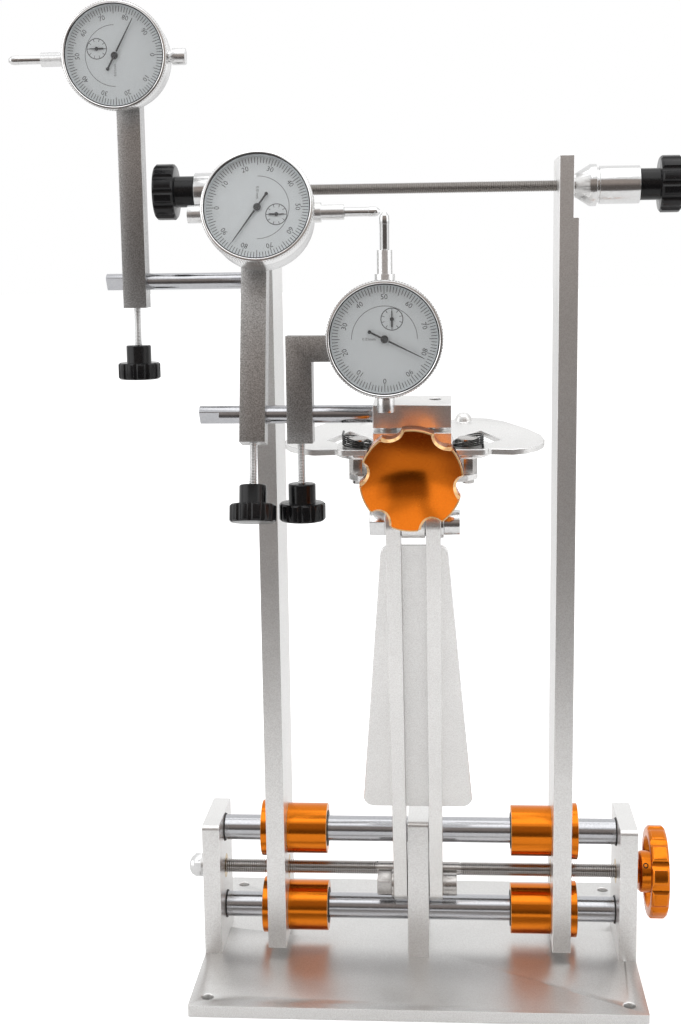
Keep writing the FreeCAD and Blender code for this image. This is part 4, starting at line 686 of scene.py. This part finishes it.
@dataclass
class DialGauge:
    """Bezel, printed dial, hands and cover of one gauge."""

    number: int
    hand_angle: float
    bezel_radius: float = 28.5 * MM
    bezel_front: float = 3.6 * MM
    bezel_depth: float = 8.6 * MM
    bezel_lip: float = 26.2 * MM
    case_radius: float = 27.06 * MM
    knurls: int = 120
    knurl_height: float = 0.18 * MM
    dark_width: float = 0.5 * MM
    face_radius: float = 16.26 * MM
    dial_radius: float = 26.9 * MM
    dial_thickness: float = 0.8 * MM
    tick_outer: float = 25.6 * MM
    tick_inner: float = 22.7 * MM
    tick_width: float = 0.30 * MM
    numeral_radius: float = 20.2 * MM
    numeral_size: float = 3.6 * MM
    arc_radius: float = 16.3 * MM
    small_radius: float = 5.3 * MM
    print_height: float = 0.03 * MM
    print_thickness: float = 0.02 * MM
    hand_length: float = 21.5 * MM
    hand_start: float = 2.2 * MM
    hand_tail: float = 8.0 * MM
    hand_width: float = 0.95 * MM
    hand_thickness: float = 0.25 * MM
    hand_height: float = 1.1 * MM
    hub_radius: float = 1.9 * MM
    hub_thickness: float = 0.5 * MM
    cover_depth: float = 1.0 * MM
    facets: int = 96

    def piece(self, name: str, rider: str, finish: Finish, slot: str) -> Builder:
        """New piece of the gauge.

        Args:
            name: Name of the piece, without the gauge's own.
            rider: Part of the gauge whose body it rides on.
            finish: Finish of the piece.
            slot: Part of the gauge whose slot it takes.

        Returns:
            The empty piece.
        """
        gauge = f"gauge_{self.number}"
        return Builder(f"{gauge}_{name}", f"{gauge}_{rider}", finish, slot_of(f"{gauge}_{slot}"))

    def axis(self) -> Matrix:
        """Matrix of the dial's face whose Z runs to the back."""
        return self.place() @ Axis.BACK.matrix()

    def place(self) -> Matrix:
        """Matrix of the dial's own frame: Z to the cap, Y to the back, X across."""
        name = f"gauge_{self.number}"
        back = joint_axis(f"{name}_bezel_turn")
        up = joint_axis(f"{name}_plunger_slide")
        across = back.cross(up).normalized()
        return frame_matrix(joint_place(f"{name}_bezel_turn"), across, back, up)

    def flat(self, radius: float, angle: float, height: float, turn: float = 0.0) -> Matrix:
        """Place on the dial's face, at a clockwise angle from the cap.

        Args:
            radius: Distance from the dial's centre.
            angle: Clockwise angle from the cap, in degrees, seen from the front.
            height: Height in front of the face.
            turn: More clockwise turn of what is placed, in degrees.

        Returns:
            Matrix whose Y points outwards along the radius and Z faces the reader.
        """
        swing = Matrix.Rotation(math.radians(angle), 4, "Y")
        face = Matrix.Rotation(math.pi / 2, 4, "X")
        own = Matrix.Rotation(math.radians(-turn), 4, "Z")
        return self.place() @ swing @ shift(0, -height, radius) @ face @ own

    def build(self) -> None:
        """Make the pieces of the gauge."""
        self.build_bezel()
        self.build_dial()
        self.build_hands()
        self.build_cover()

    def build_bezel(self) -> None:
        """Knurled ring, the dark line inside it and the pale sleeve down to the dial."""
        builder = self.piece("bezel_ring", "bezel", CHROME, "bezel")
        axis = self.place() @ shift(0, -self.bezel_front, 0) @ Axis.BACK.matrix()
        edge = 0.9 * MM
        side = self.bezel_radius - self.knurl_height
        inner = self.bezel_lip + self.dark_width
        builder.lathe(
            [
                (0.7 * MM, inner), (0.25 * MM, inner + 0.1 * MM), (0, inner + 0.45 * MM),
                (0, side - edge), (0.3 * edge, side - 0.3 * edge), (edge, side),
                (self.bezel_depth - edge, side), (self.bezel_depth, side - edge),
                (self.bezel_depth, self.case_radius), (0.7 * MM, self.case_radius),
            ],
            axis,
            self.facets,
        )
        for step in range(self.knurls):
            turn = Matrix.Rotation(2 * math.pi * step / self.knurls, 4, "Z")
            place = axis @ turn @ shift(side, 0, self.bezel_depth / 2)
            builder.block(
                (2 * self.knurl_height, 0.8 * MM, self.bezel_depth - 2.6 * edge), place
            )
        builder.done(f"gauge_{self.number}_bezel")
        lip = self.piece("bezel_lip", "bezel", DARK_RING, "bezel")
        lip.ring((0.45 * MM, 0.8 * MM), (inner, self.bezel_lip), axis)
        lip.done()
        sleeve = self.piece("bezel_sleeve", "bezel", DIAL, "dial")
        back = self.bezel_front - 0.1 * MM
        sleeve.lathe(
            [
                (0.85 * MM, self.bezel_lip), (back, self.bezel_lip),
                (back, self.case_radius), (0.85 * MM, self.case_radius),
            ],
            axis,
            self.facets,
        )
        sleeve.done()

    def build_dial(self) -> None:
        """Dial plates with their printing."""
        name = f"gauge_{self.number}"
        ring = self.piece("dial_ring", "bezel", DIAL, "dial")
        ring.ring((0, self.dial_thickness), (self.face_radius, self.dial_radius), self.axis())
        ring.done(f"{name}_dial")
        middle = self.piece("dial_middle", "bar", DIAL, "dial")
        thickness = self.print_thickness
        middle.ring((-thickness, thickness), (0, self.face_radius), self.axis())
        middle.done()
        scale = self.piece("scale", "bezel", PRINT, "hand")
        for tick in range(100):
            angle = tick * 3.6
            inner = self.tick_inner - (1.0 * MM if tick % 5 == 0 else 0)
            length = self.tick_outer - inner
            place = self.flat((self.tick_outer + inner) / 2, angle, self.print_height)
            scale.block((self.tick_width, length, thickness), place)
        for numeral in range(10):
            place = self.flat(self.numeral_radius, numeral * 36, self.print_height)
            scale.text(str(numeral * 10), self.numeral_size, place)
        scale.done()
        marks = self.piece("marks", "bar", PRINT, "hand")
        height = self.print_height + thickness
        self.ring_print(marks, self.arc_radius - 0.35 * MM, 0.25 * MM, 90, 270, Vector((0, 0, 0)))
        small = self.place().inverted() @ joint_place(f"{name}_small_hand_turn")
        centre = Vector((small.x, 0, small.z))
        self.ring_print(marks, self.small_radius, 0.4 * MM, 0, 360, centre)
        for tick in range(10):
            turn = Matrix.Rotation(math.radians(tick * 36), 4, "Y")
            place = self.place() @ Matrix.Translation(centre) @ turn
            place = place @ shift(0, -height, self.small_radius - 0.9 * MM)
            marks.block((0.3 * MM, thickness, 1.3 * MM), place)
        marks.text("0.01mm", 2.0 * MM, self.flat(7.5 * MM, 90, height, 90))
        marks.done()

    def ring_print(
        self, builder: Builder, radius: float, width: float, first: float, last: float,
        centre: Vector,
    ) -> None:
        """Printed arc on the dial.

        Args:
            builder: Piece that the arc joins.
            radius: Radius of the arc.
            width: Width of the line.
            first: Clockwise angle where the arc starts, in degrees.
            last: Clockwise angle where it ends, in degrees.
            centre: Centre of the arc in the dial's frame.
        """
        part = bmesh.new()
        height = self.print_height + self.print_thickness / 2
        inner = part.verts.new((0, -height, radius - width / 2))
        outer = part.verts.new((0, -height, radius + width / 2))
        edge = part.edges.new((inner, outer))
        bmesh.ops.rotate(
            part, verts=part.verts, cent=(0, 0, 0),
            matrix=Matrix.Rotation(math.radians(first), 3, "Y"),
        )
        bmesh.ops.spin(
            part, geom=[inner, outer, edge], axis=(0, 1, 0), cent=(0, 0, 0), steps=72,
            angle=math.radians(last - first), use_merge=last - first == 360,
        )
        bmesh.ops.recalc_face_normals(part, faces=part.faces)
        builder.add(part, self.place() @ Matrix.Translation(centre))

    def build_hands(self) -> None:
        """Long needle with its tail, and the small needle of the turn counter."""
        name = f"gauge_{self.number}"
        hand = self.piece("needle", "hand", NEEDLE, "hand")
        height = self.hand_height
        length = self.hand_length - self.hand_start
        hand.wedge(
            (self.hand_width, length, self.hand_thickness), 0.35,
            self.flat(length / 2 + self.hand_start, self.hand_angle, height),
        )
        hand.block(
            (0.9 * MM, self.hand_tail, self.hand_thickness),
            self.flat(-self.hand_tail / 2, self.hand_angle, height),
        )
        for along, radius in ((0.0, self.hub_radius), (-self.hand_thickness, 1.2 * MM)):
            front = along - height
            hand.ring((front, front + self.hub_thickness), (0, radius), self.axis(), 32)
        tail = self.flat(-self.hand_tail, self.hand_angle, height)
        hand.ring((-0.13 * MM, 0.13 * MM), (0, 0.9 * MM), tail, 24)
        hand.done(f"{name}_hand")
        small = self.piece("small_needle", "small_hand", NEEDLE, "small_hand")
        centre = self.place().inverted() @ joint_place(f"{name}_small_hand_turn")
        base = self.place() @ shift(centre.x, -0.45 * MM, centre.z)
        small.block((0.5 * MM, 0.15 * MM, 7.6 * MM), base)
        small.block((0.9 * MM, 0.16 * MM, 2.6 * MM), base @ shift(0, 0, 2.4 * MM))
        hub = base @ shift(0, -0.1 * MM, 0) @ Axis.BACK.matrix()
        small.ring((0, 0.2 * MM), (0, 1.0 * MM), hub, 24)
        small.done(f"{name}_small_hand")

    def build_cover(self) -> None:
        """Clear cover in the bezel."""
        cover = self.piece("cover", "bezel", CLEAR, "dial")
        start = -self.bezel_front + self.cover_depth
        radius = self.bezel_lip + 0.3 * MM
        cover.ring((start, start + 0.5 * MM), (0, radius), self.axis())
        cover.done()


@dataclass
class Seals:
    """Black seal rings in the sliding bushes' ends, and black rings round the guide rods at the end plates that
    paint the shade in the gap where each rod enters.
    """

    inner: float = 7.5 * MM
    outer: float = 10.6 * MM
    thickness: float = 0.35 * MM
    # Rings at the end plates: painted shade in the gap round each rod's entry
    gap_shade_radius: float = 8.3 * MM
    gap_shade_thickness: float = 0.7 * MM
    rod_levels: tuple[float, float] = (27.3 * MM, 75.5 * MM)

    def ring(self, builder: Builder, outer: float, thickness: float, place: Matrix) -> None:
        """Flat ring round a guide rod, with a bevelled outer edge.

        Args:
            builder: Piece that the ring joins.
            outer: Outer radius.
            thickness: How far it stands proud.
            place: Matrix that puts the shape where it belongs.
        """
        builder.lathe(
            [
                (0, self.inner), (0, outer), (thickness, outer - 0.3 * MM),
                (thickness, self.inner),
            ],
            place,
            48,
        )

    def build(self) -> None:
        """Make the seal rings of both uprights and the painted-shade rings at both end plates."""
        slot = slot_of("left_axle_knob")
        for side, axis in (("left", Axis.RIGHT), ("right", Axis.LEFT)):
            low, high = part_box(f"{side}_sliders")
            end = high.x if side == "left" else low.x
            builder = Builder(f"{side}_seals", f"{side}_upright", SEAL_AND_GAP_SHADE, slot)
            for level in self.rod_levels:
                place = shift(end, 0, level) @ axis.matrix()
                self.ring(builder, self.outer, self.thickness, place)
            builder.done()
        # Black rings that paint the shade in the gap where each guide rod enters an end plate
        gap_shade_rings = Builder("rod_gap_shade_rings", body_of("end_plates"), SEAL_AND_GAP_SHADE, slot)
        low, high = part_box("end_plates")
        thickness = self.plate_thickness()
        for face, axis in ((low.x + thickness, Axis.RIGHT), (high.x - thickness, Axis.LEFT)):
            for level in self.rod_levels:
                place = shift(face, 0, level) @ axis.matrix()
                self.ring(gap_shade_rings, self.gap_shade_radius, self.gap_shade_thickness, place)
        gap_shade_rings.done()

    def plate_thickness(self) -> float:
        """Thickness of an end plate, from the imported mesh."""
        mesh = frame["nodes"]["end_plates"].data
        low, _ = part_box("end_plates")
        return max(vert.co.x for vert in mesh.vertices if vert.co.x < 0) - low.x


@dataclass
class ClampScrews:
    """Black knobs of the gauge clamps and their bright threaded screws."""

    root: float = 1.55 * MM
    crest: float = 2.0 * MM
    pitch: float = 0.8 * MM
    neck_length: float = 9.8 * MM
    knob_length: float = 9.2 * MM
    knob_edge: float = 0.3 * MM
    overlap: float = 0.5 * MM

    def build(self) -> None:
        """Make the knob and the screw of every gauge."""
        for number in HAND_ANGLES:
            node = f"gauge_{number}_clamp_knob"
            axis = joint_axis(f"gauge_{number}_clamp_turn")
            up = axis if axis.z > 0 else -axis
            foot = joint_place(f"gauge_{number}_clamp_turn")
            levels = [(vert.co - foot).dot(up) for vert in frame["nodes"][node].data.vertices]
            neck_top = min(levels) + self.knob_length + self.neck_length
            builder = on_node(f"{node}_grip", node)
            builder.copy_node(node, self.knob_edge, cut=(foot + up * (neck_top + NEAR), up))
            builder.done(node)
            start = neck_top - self.overlap
            place = frame_matrix(foot + up * start, ACROSS, up.cross(ACROSS), up)
            screw = Builder(
                f"gauge_{number}_clamp_screw", body_of(node), BRIGHT, slot_of("end_nut")
            )
            screw.thread(self.root, self.crest, self.pitch, max(levels) - start, place)
            screw.done(smooth=60)


@dataclass
class Cup:
    """Orange cup of the callipers: a smooth dish with notches round its rim; the dish is a darker copy of the
    orange, which paints shade into the hollow.
    """

    radius: float = 25.5 * MM
    length: float = 19.0 * MM
    back_radius: float = 18.4 * MM
    side_share: float = 0.95
    side_start: float = 5.5 * MM
    side_end: float = 16.6 * MM
    socket_radius: float = 4.0 * MM
    socket_depth: float = 4.2 * MM
    dish_radius: float = 24.7 * MM
    dish_depth: float = 14.1 * MM
    dish_power: float = 1.8
    dish_rings: int = 20
    centre_radius: float = 2.8 * MM
    notch_radius: float = 6.0 * MM
    notch_depth: float = 3.6 * MM
    notch_edge: float = 1.3 * MM
    notches: int = 6
    notch_turn: float = -8.0
    facets: int = 360
    merge: float = 0.005 * MM

    def dish(self, radius: float) -> float:
        """Place of the dish's surface along the axis, at a radius."""
        share = min(radius / self.dish_radius, 1.0)
        return self.length - self.dish_depth * (1 - share**self.dish_power)

    def limit(self, angle: float, notch: float) -> float:
        """Radius of the notched outline at an angle.

        Args:
            angle: Angle round the axis, in radians.
            notch: Radius of the notches.

        Returns:
            The largest radius that the cup has there.
        """
        pitch = 2 * math.pi / self.notches
        away = (angle + pitch / 2) % pitch - pitch / 2
        centre = self.radius + self.notch_radius - self.notch_depth
        inside = notch**2 - (centre * math.sin(away)) ** 2
        if inside <= 0:
            return self.radius
        return min(self.radius, centre * math.cos(away) - math.sqrt(inside))

    def outline(self) -> list[tuple[float, float]]:
        """Half section of the cup, from its socket round the outside to the dish's centre."""
        rim = self.length
        points = [
            (self.socket_depth, 0), (self.socket_depth, self.socket_radius),
            (0, self.socket_radius), (0, self.back_radius),
            (self.side_start, self.radius * self.side_share), (1.5 * self.side_start, self.radius),
            (self.side_end, self.radius), (rim - 0.5 * MM, self.radius),
            (rim - 0.15 * MM, self.radius - 0.15 * MM), (rim, self.radius - 0.4 * MM),
            (rim, self.dish_radius),
        ]
        for ring in range(1, self.dish_rings + 1):
            radius = self.dish_radius * (1 - ring / (self.dish_rings + 1))
            points.append((self.dish(radius), radius))
        return points + [(self.dish(self.centre_radius / 2), 0)]

    def notched(self, along: float, radius: float, angle: float) -> tuple[float, float]:
        """Where a point of the half section goes so that the notches are cut out.

        Args:
            along: The point's place along the axis.
            radius: The point's radius.
            angle: Angle round the axis, in radians.

        Returns:
            The new place along the axis and the new radius.
        """
        front = self.limit(angle, self.notch_radius + self.notch_edge)
        back = self.limit(angle, self.notch_radius)
        if along < self.side_end - NEAR and abs(along - self.dish(radius)) > NEAR:
            return along, min(radius, back)
        if radius <= self.dish_radius + NEAR:
            radius *= min(front / self.dish_radius, 1.0)
            return self.dish(radius), radius
        if along < self.side_end + NEAR:
            return min(along, self.dish(front) - self.notch_edge), back
        radius = min(radius, front)
        return min(along, self.dish(radius)), radius

    def finish_index(self, face: bmesh.types.BMFace) -> int:
        """Material index of a face: 0 in the dish (the darker orange of painted shade), 1 on the rim's edges, 2
        outside.

        Args:
            face: Face of the finished cup, in its own frame.

        Returns:
            The index.
        """
        middle = face.calc_center_median()
        outward = face.normal.xy.dot(middle.xy) > 0
        if middle.z < 0.8 * self.side_start or (outward and face.normal.z < 0.2):
            return 2
        on_rim = middle.z > self.length - 0.6 * MM and middle.xy.length > self.dish_radius
        return int(on_rim or (outward and middle.xy.length > 0.8 * self.dish_radius))

    def build(self) -> None:
        """Make the cup on its joint's axis."""
        part = spun(self.outline(), self.facets, False)
        for vert in part.verts:
            radius = vert.co.xy.length
            if radius > self.socket_radius * 0.1:
                along, reach = self.notched(vert.co.z, radius, math.atan2(vert.co.y, vert.co.x))
                vert.co = (vert.co.x * reach / radius, vert.co.y * reach / radius, along)
        bmesh.ops.remove_doubles(part, verts=part.verts, dist=self.merge)
        bmesh.ops.recalc_face_normals(part, faces=part.faces)
        for face in part.faces:
            face.material_index = self.finish_index(face)
        axis = joint_axis("calliper_turn")
        forward = axis if axis.y < 0 else -axis
        corners = frame["nodes"]["calliper_knob"].data.vertices
        foot = joint_place("calliper_turn")
        back = min((vert.co - foot).dot(forward) for vert in corners)
        place = frame_matrix(foot + forward * back, ACROSS, forward.cross(ACROSS), forward)
        turn = Matrix.Rotation(math.radians(self.notch_turn), 4, "Z")
        # The dish's faces get the darker orange of painted shade
        builder = on_node("calliper_cup", "calliper_knob", DISH_SHADE_ORANGE, ORANGE_EDGE)
        builder.add(part, place @ turn)
        cup = builder.done("calliper_knob", smooth=32)
        cup.data.materials.append(ORANGE.material())


@dataclass
class SmallFittings:
    """Fanned jaw springs and the handwheel's set screw."""

    fan_height: float = 0.78
    fan_close: float = 0.72
    spring_radius: float = 8.0 * MM
    screw_along: float = 131.4 * MM
    screw_turn: float = 38.0
    screw_radius: float = 1.7 * MM
    screw_length: float = 3.0 * MM
    screw_edge: float = 0.2 * MM
    socket_share: float = 0.55
    socket_depth: float = 1.2 * MM
    hub_radius: float = 12.0 * MM

    def build(self) -> None:
        """Make the springs and the set screw."""
        self.build_springs()
        self.build_set_screw()

    def build_springs(self) -> None:
        """Jaw springs whose coils close up on the side towards the middle."""
        node = "jaw_springs"
        part = bmesh.new()
        part.from_mesh(frame["nodes"][node].data)
        bmesh.ops.remove_doubles(part, verts=part.verts, dist=MERGE)
        low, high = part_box(node)
        spot = {side: joint_place(f"{side}_jaw_swing") for side in ("left", "right")}
        up = joint_axis("left_jaw_swing")
        up = up if up.z > 0 else -up
        floor = min((vert.co - spot["left"]).dot(up) for vert in part.verts)
        for vert in part.verts:
            side = "left" if vert.co.x < (low.x + high.x) / 2 else "right"
            outwards = -1 if side == "left" else 1
            reach = (vert.co.x - spot[side].x) * outwards / self.spring_radius
            share = min(max((1 - reach) / 2, 0.0), 1.0)
            height = (vert.co - spot[side]).dot(up) - floor
            scale = self.fan_height * (1 - self.fan_close * share)
            vert.co += up * height * (scale - 1)
        builder = on_node(f"{node}_fanned", node)
        builder.add(part, Matrix.Identity(4))
        builder.done(node)

    def build_set_screw(self) -> None:
        """Black socket set screw in the handwheel's hub."""
        low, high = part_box("lead_screw")
        centre = Vector((self.screw_along, (low.y + high.y) / 2, (low.z + high.z) / 2))
        swing = Matrix.Rotation(math.radians(90 - self.screw_turn), 4, "X")
        top = self.hub_radius + 0.05 * MM
        builder = Builder("handwheel_set_screw", "lead_screw", BLACK, slot_of("left_axle_knob"))
        bottom = top - self.screw_length
        socket = self.screw_radius * self.socket_share
        builder.lathe(
            [
                (bottom, 0), (bottom, self.screw_radius),
                (top - self.screw_edge, self.screw_radius),
                (top, self.screw_radius - self.screw_edge), (top, socket),
                (top - self.socket_depth, socket), (top - self.socket_depth, 0),
            ],
            Matrix.Translation(centre) @ swing,
            24,
        )
        builder.done()


@dataclass
class Studio:
    """Camera, floor, backdrop and lamps."""

    focal_pixels: float = 1542.5
    image_height: float = 1024.0
    sensor: float = 36.0
    pitch: float = 9.5735
    yaw: float = -4.1648
    roll: float = -0.8032
    position: Point = (0.01939, -0.86623, 0.41162)
    floor_half: float = 8.0
    floor_front: float = -0.54
    floor_level: float = -0.3 * MM
    floor_glow: float = 0.5
    card_distance: float = 1.7
    card_left: float = -1.5
    card_right: float = 4.0
    card_top: float = 1.5
    card_bottom: float = -1.2
    card_dark_level: float = -0.4
    card_pale_level: float = 1.3
    card_dark: Colour = (0.10, 0.085, 0.078)
    card_pale: Colour = (0.34, 0.29, 0.26)

    def build(self) -> None:
        """Make everything round the object."""
        self.build_camera()
        self.build_floor()
        self.build_card()
        self.build_world()
        self.build_lamps()

    def build_camera(self) -> None:
        """Camera at the photograph's viewpoint."""
        data = bpy.data.cameras.new("camera")
        data.sensor_fit = "VERTICAL"
        data.sensor_height = self.sensor
        data.lens = self.focal_pixels / self.image_height * self.sensor
        data.clip_start = 0.01
        camera = linked("camera", data)
        pitch, yaw, roll = (math.radians(angle) for angle in (self.pitch, self.yaw, self.roll))
        ahead = Vector(
            (math.sin(yaw) * math.cos(pitch), math.cos(yaw) * math.cos(pitch), -math.sin(pitch))
        )
        right = Vector((math.cos(yaw), -math.sin(yaw), 0))
        up = right.cross(ahead)
        rolled_right = right * math.cos(roll) + up * math.sin(roll)
        rolled_up = up * math.cos(roll) - right * math.sin(roll)
        camera.matrix_world = frame_matrix(Vector(self.position), rolled_right, rolled_up, -ahead)
        bpy.context.scene.camera = camera

    def build_floor(self) -> None:
        """White floor under the object."""
        half, front, level = self.floor_half, self.floor_front, self.floor_level
        back = front + 2 * half
        _, tree, shader = self.sheet(
            "floor", ((-half, front, level), (half, front, level),
                      (half, back, level), (-half, back, level))
        )
        shader.inputs["Base Color"].default_value = (0.93, 0.93, 0.93, 1)
        shader.inputs["Specular IOR Level"].default_value = 0.0
        path = tree.nodes.new("ShaderNodeLightPath")
        lift = tree.nodes.new("ShaderNodeMath")
        lift.operation = "MULTIPLY"
        lift.inputs[1].default_value = self.floor_glow
        tree.links.new(path.outputs["Is Camera Ray"], lift.inputs[0])
        tree.links.new(lift.outputs["Value"], shader.inputs["Emission Strength"])
        shader.inputs["Emission Color"].default_value = (1, 1, 1, 1)

    def sheet(self, name: str, corners: Sequence[Point]) -> tuple[bpy.types.Object, Tree, Node]:
        """Flat sheet of the stage with a matt material of its own.

        Args:
            name: Name of the sheet and its material.
            corners: Its four corners.

        Returns:
            The sheet, its material's node tree and the shader.
        """
        mesh = bpy.data.meshes.new(name)
        part = bmesh.new()
        part.faces.new([part.verts.new(corner) for corner in corners])
        part.to_mesh(mesh)
        part.free()
        item = linked(name, mesh)
        tree, shader = node_material(name)
        shader.inputs["Roughness"].default_value = 0.9
        mesh.materials.append(bpy.data.materials[name])
        return item, tree, shader

    def build_card(self) -> None:
        """Dark warm card behind the camera, which the camera itself doesn't see."""
        corners = [
            (x, -self.card_distance, z)
            for x, z in (
                (self.card_left, self.card_bottom), (self.card_right, self.card_bottom),
                (self.card_right, self.card_top), (self.card_left, self.card_top),
            )
        ]
        card, tree, shader = self.sheet("card", corners)
        card.visible_camera = False
        coords = tree.nodes.new("ShaderNodeTexCoord")
        split = tree.nodes.new("ShaderNodeSeparateXYZ")
        tree.links.new(coords.outputs["Object"], split.inputs["Vector"])
        height = tree.nodes.new("ShaderNodeMapRange")
        height.inputs["From Min"].default_value = self.card_dark_level
        height.inputs["From Max"].default_value = self.card_pale_level
        tree.links.new(split.outputs["Z"], height.inputs["Value"])
        shade = mix_colours(tree, height.outputs["Result"], self.card_dark, self.card_pale)
        tree.links.new(shade, shader.inputs["Base Color"])

    def build_world(self) -> None:
        """White surroundings, pure white where the camera sees them."""
        world = bpy.data.worlds.new("studio")
        bpy.context.scene.world = world
        world.use_nodes = True
        tree = world.node_tree
        background = tree.nodes["Background"]
        background.inputs["Color"].default_value = (1, 1, 1, 1)
        path = tree.nodes.new("ShaderNodeLightPath")
        strength = tree.nodes.new("ShaderNodeMapRange")
        strength.inputs["To Min"].default_value = 0.82
        strength.inputs["To Max"].default_value = 1.0
        seen = path.outputs["Is Camera Ray"]
        for kind in ("Is Glossy Ray", "Is Transmission Ray"):
            either = tree.nodes.new("ShaderNodeMath")
            either.operation = "MAXIMUM"
            tree.links.new(seen, either.inputs[0])
            tree.links.new(path.outputs[kind], either.inputs[1])
            seen = either.outputs["Value"]
        tree.links.new(seen, strength.inputs["Value"])
        tree.links.new(strength.outputs["Result"], background.inputs["Strength"])

    def build_lamps(self) -> None:
        """Soft lamps above and at both sides."""
        lamps: Sequence[tuple[str, Point, float, float]] = (
            ("top_lamp", (0.1, -0.3, 1.8), 1.8, 9.0),
            ("left_lamp", (-1.6, -0.7, 0.9), 1.4, 6.0),
            ("right_lamp", (1.6, -0.5, 0.8), 1.4, 5.0),
        )
        for name, place, size, power in lamps:
            data = bpy.data.lights.new(name, "AREA")
            data.size = size
            data.energy = power
            lamp = linked(name, data)
            lamp.location = place
            aim = Vector((0, 0, 0.25)) - Vector(place)
            lamp.rotation_euler = aim.to_track_quat("-Z", "Y").to_euler()


def main() -> None:
    """Build every sub-assembly in order and report the pieces."""
    logging.basicConfig(level=logging.INFO)
    bpy.context.scene.view_settings.view_transform = "Standard"
    Studio().build()
    PlainMetalwork().build()
    Threads().build()
    Seals().build()
    ClampScrews().build()
    Cup().build()
    SmallFittings().build()
    for number, angle in HAND_ANGLES.items():
        DialGauge(number, angle).build()
    bpy.context.view_layer.update()


if __name__ == "__main__":
    main()
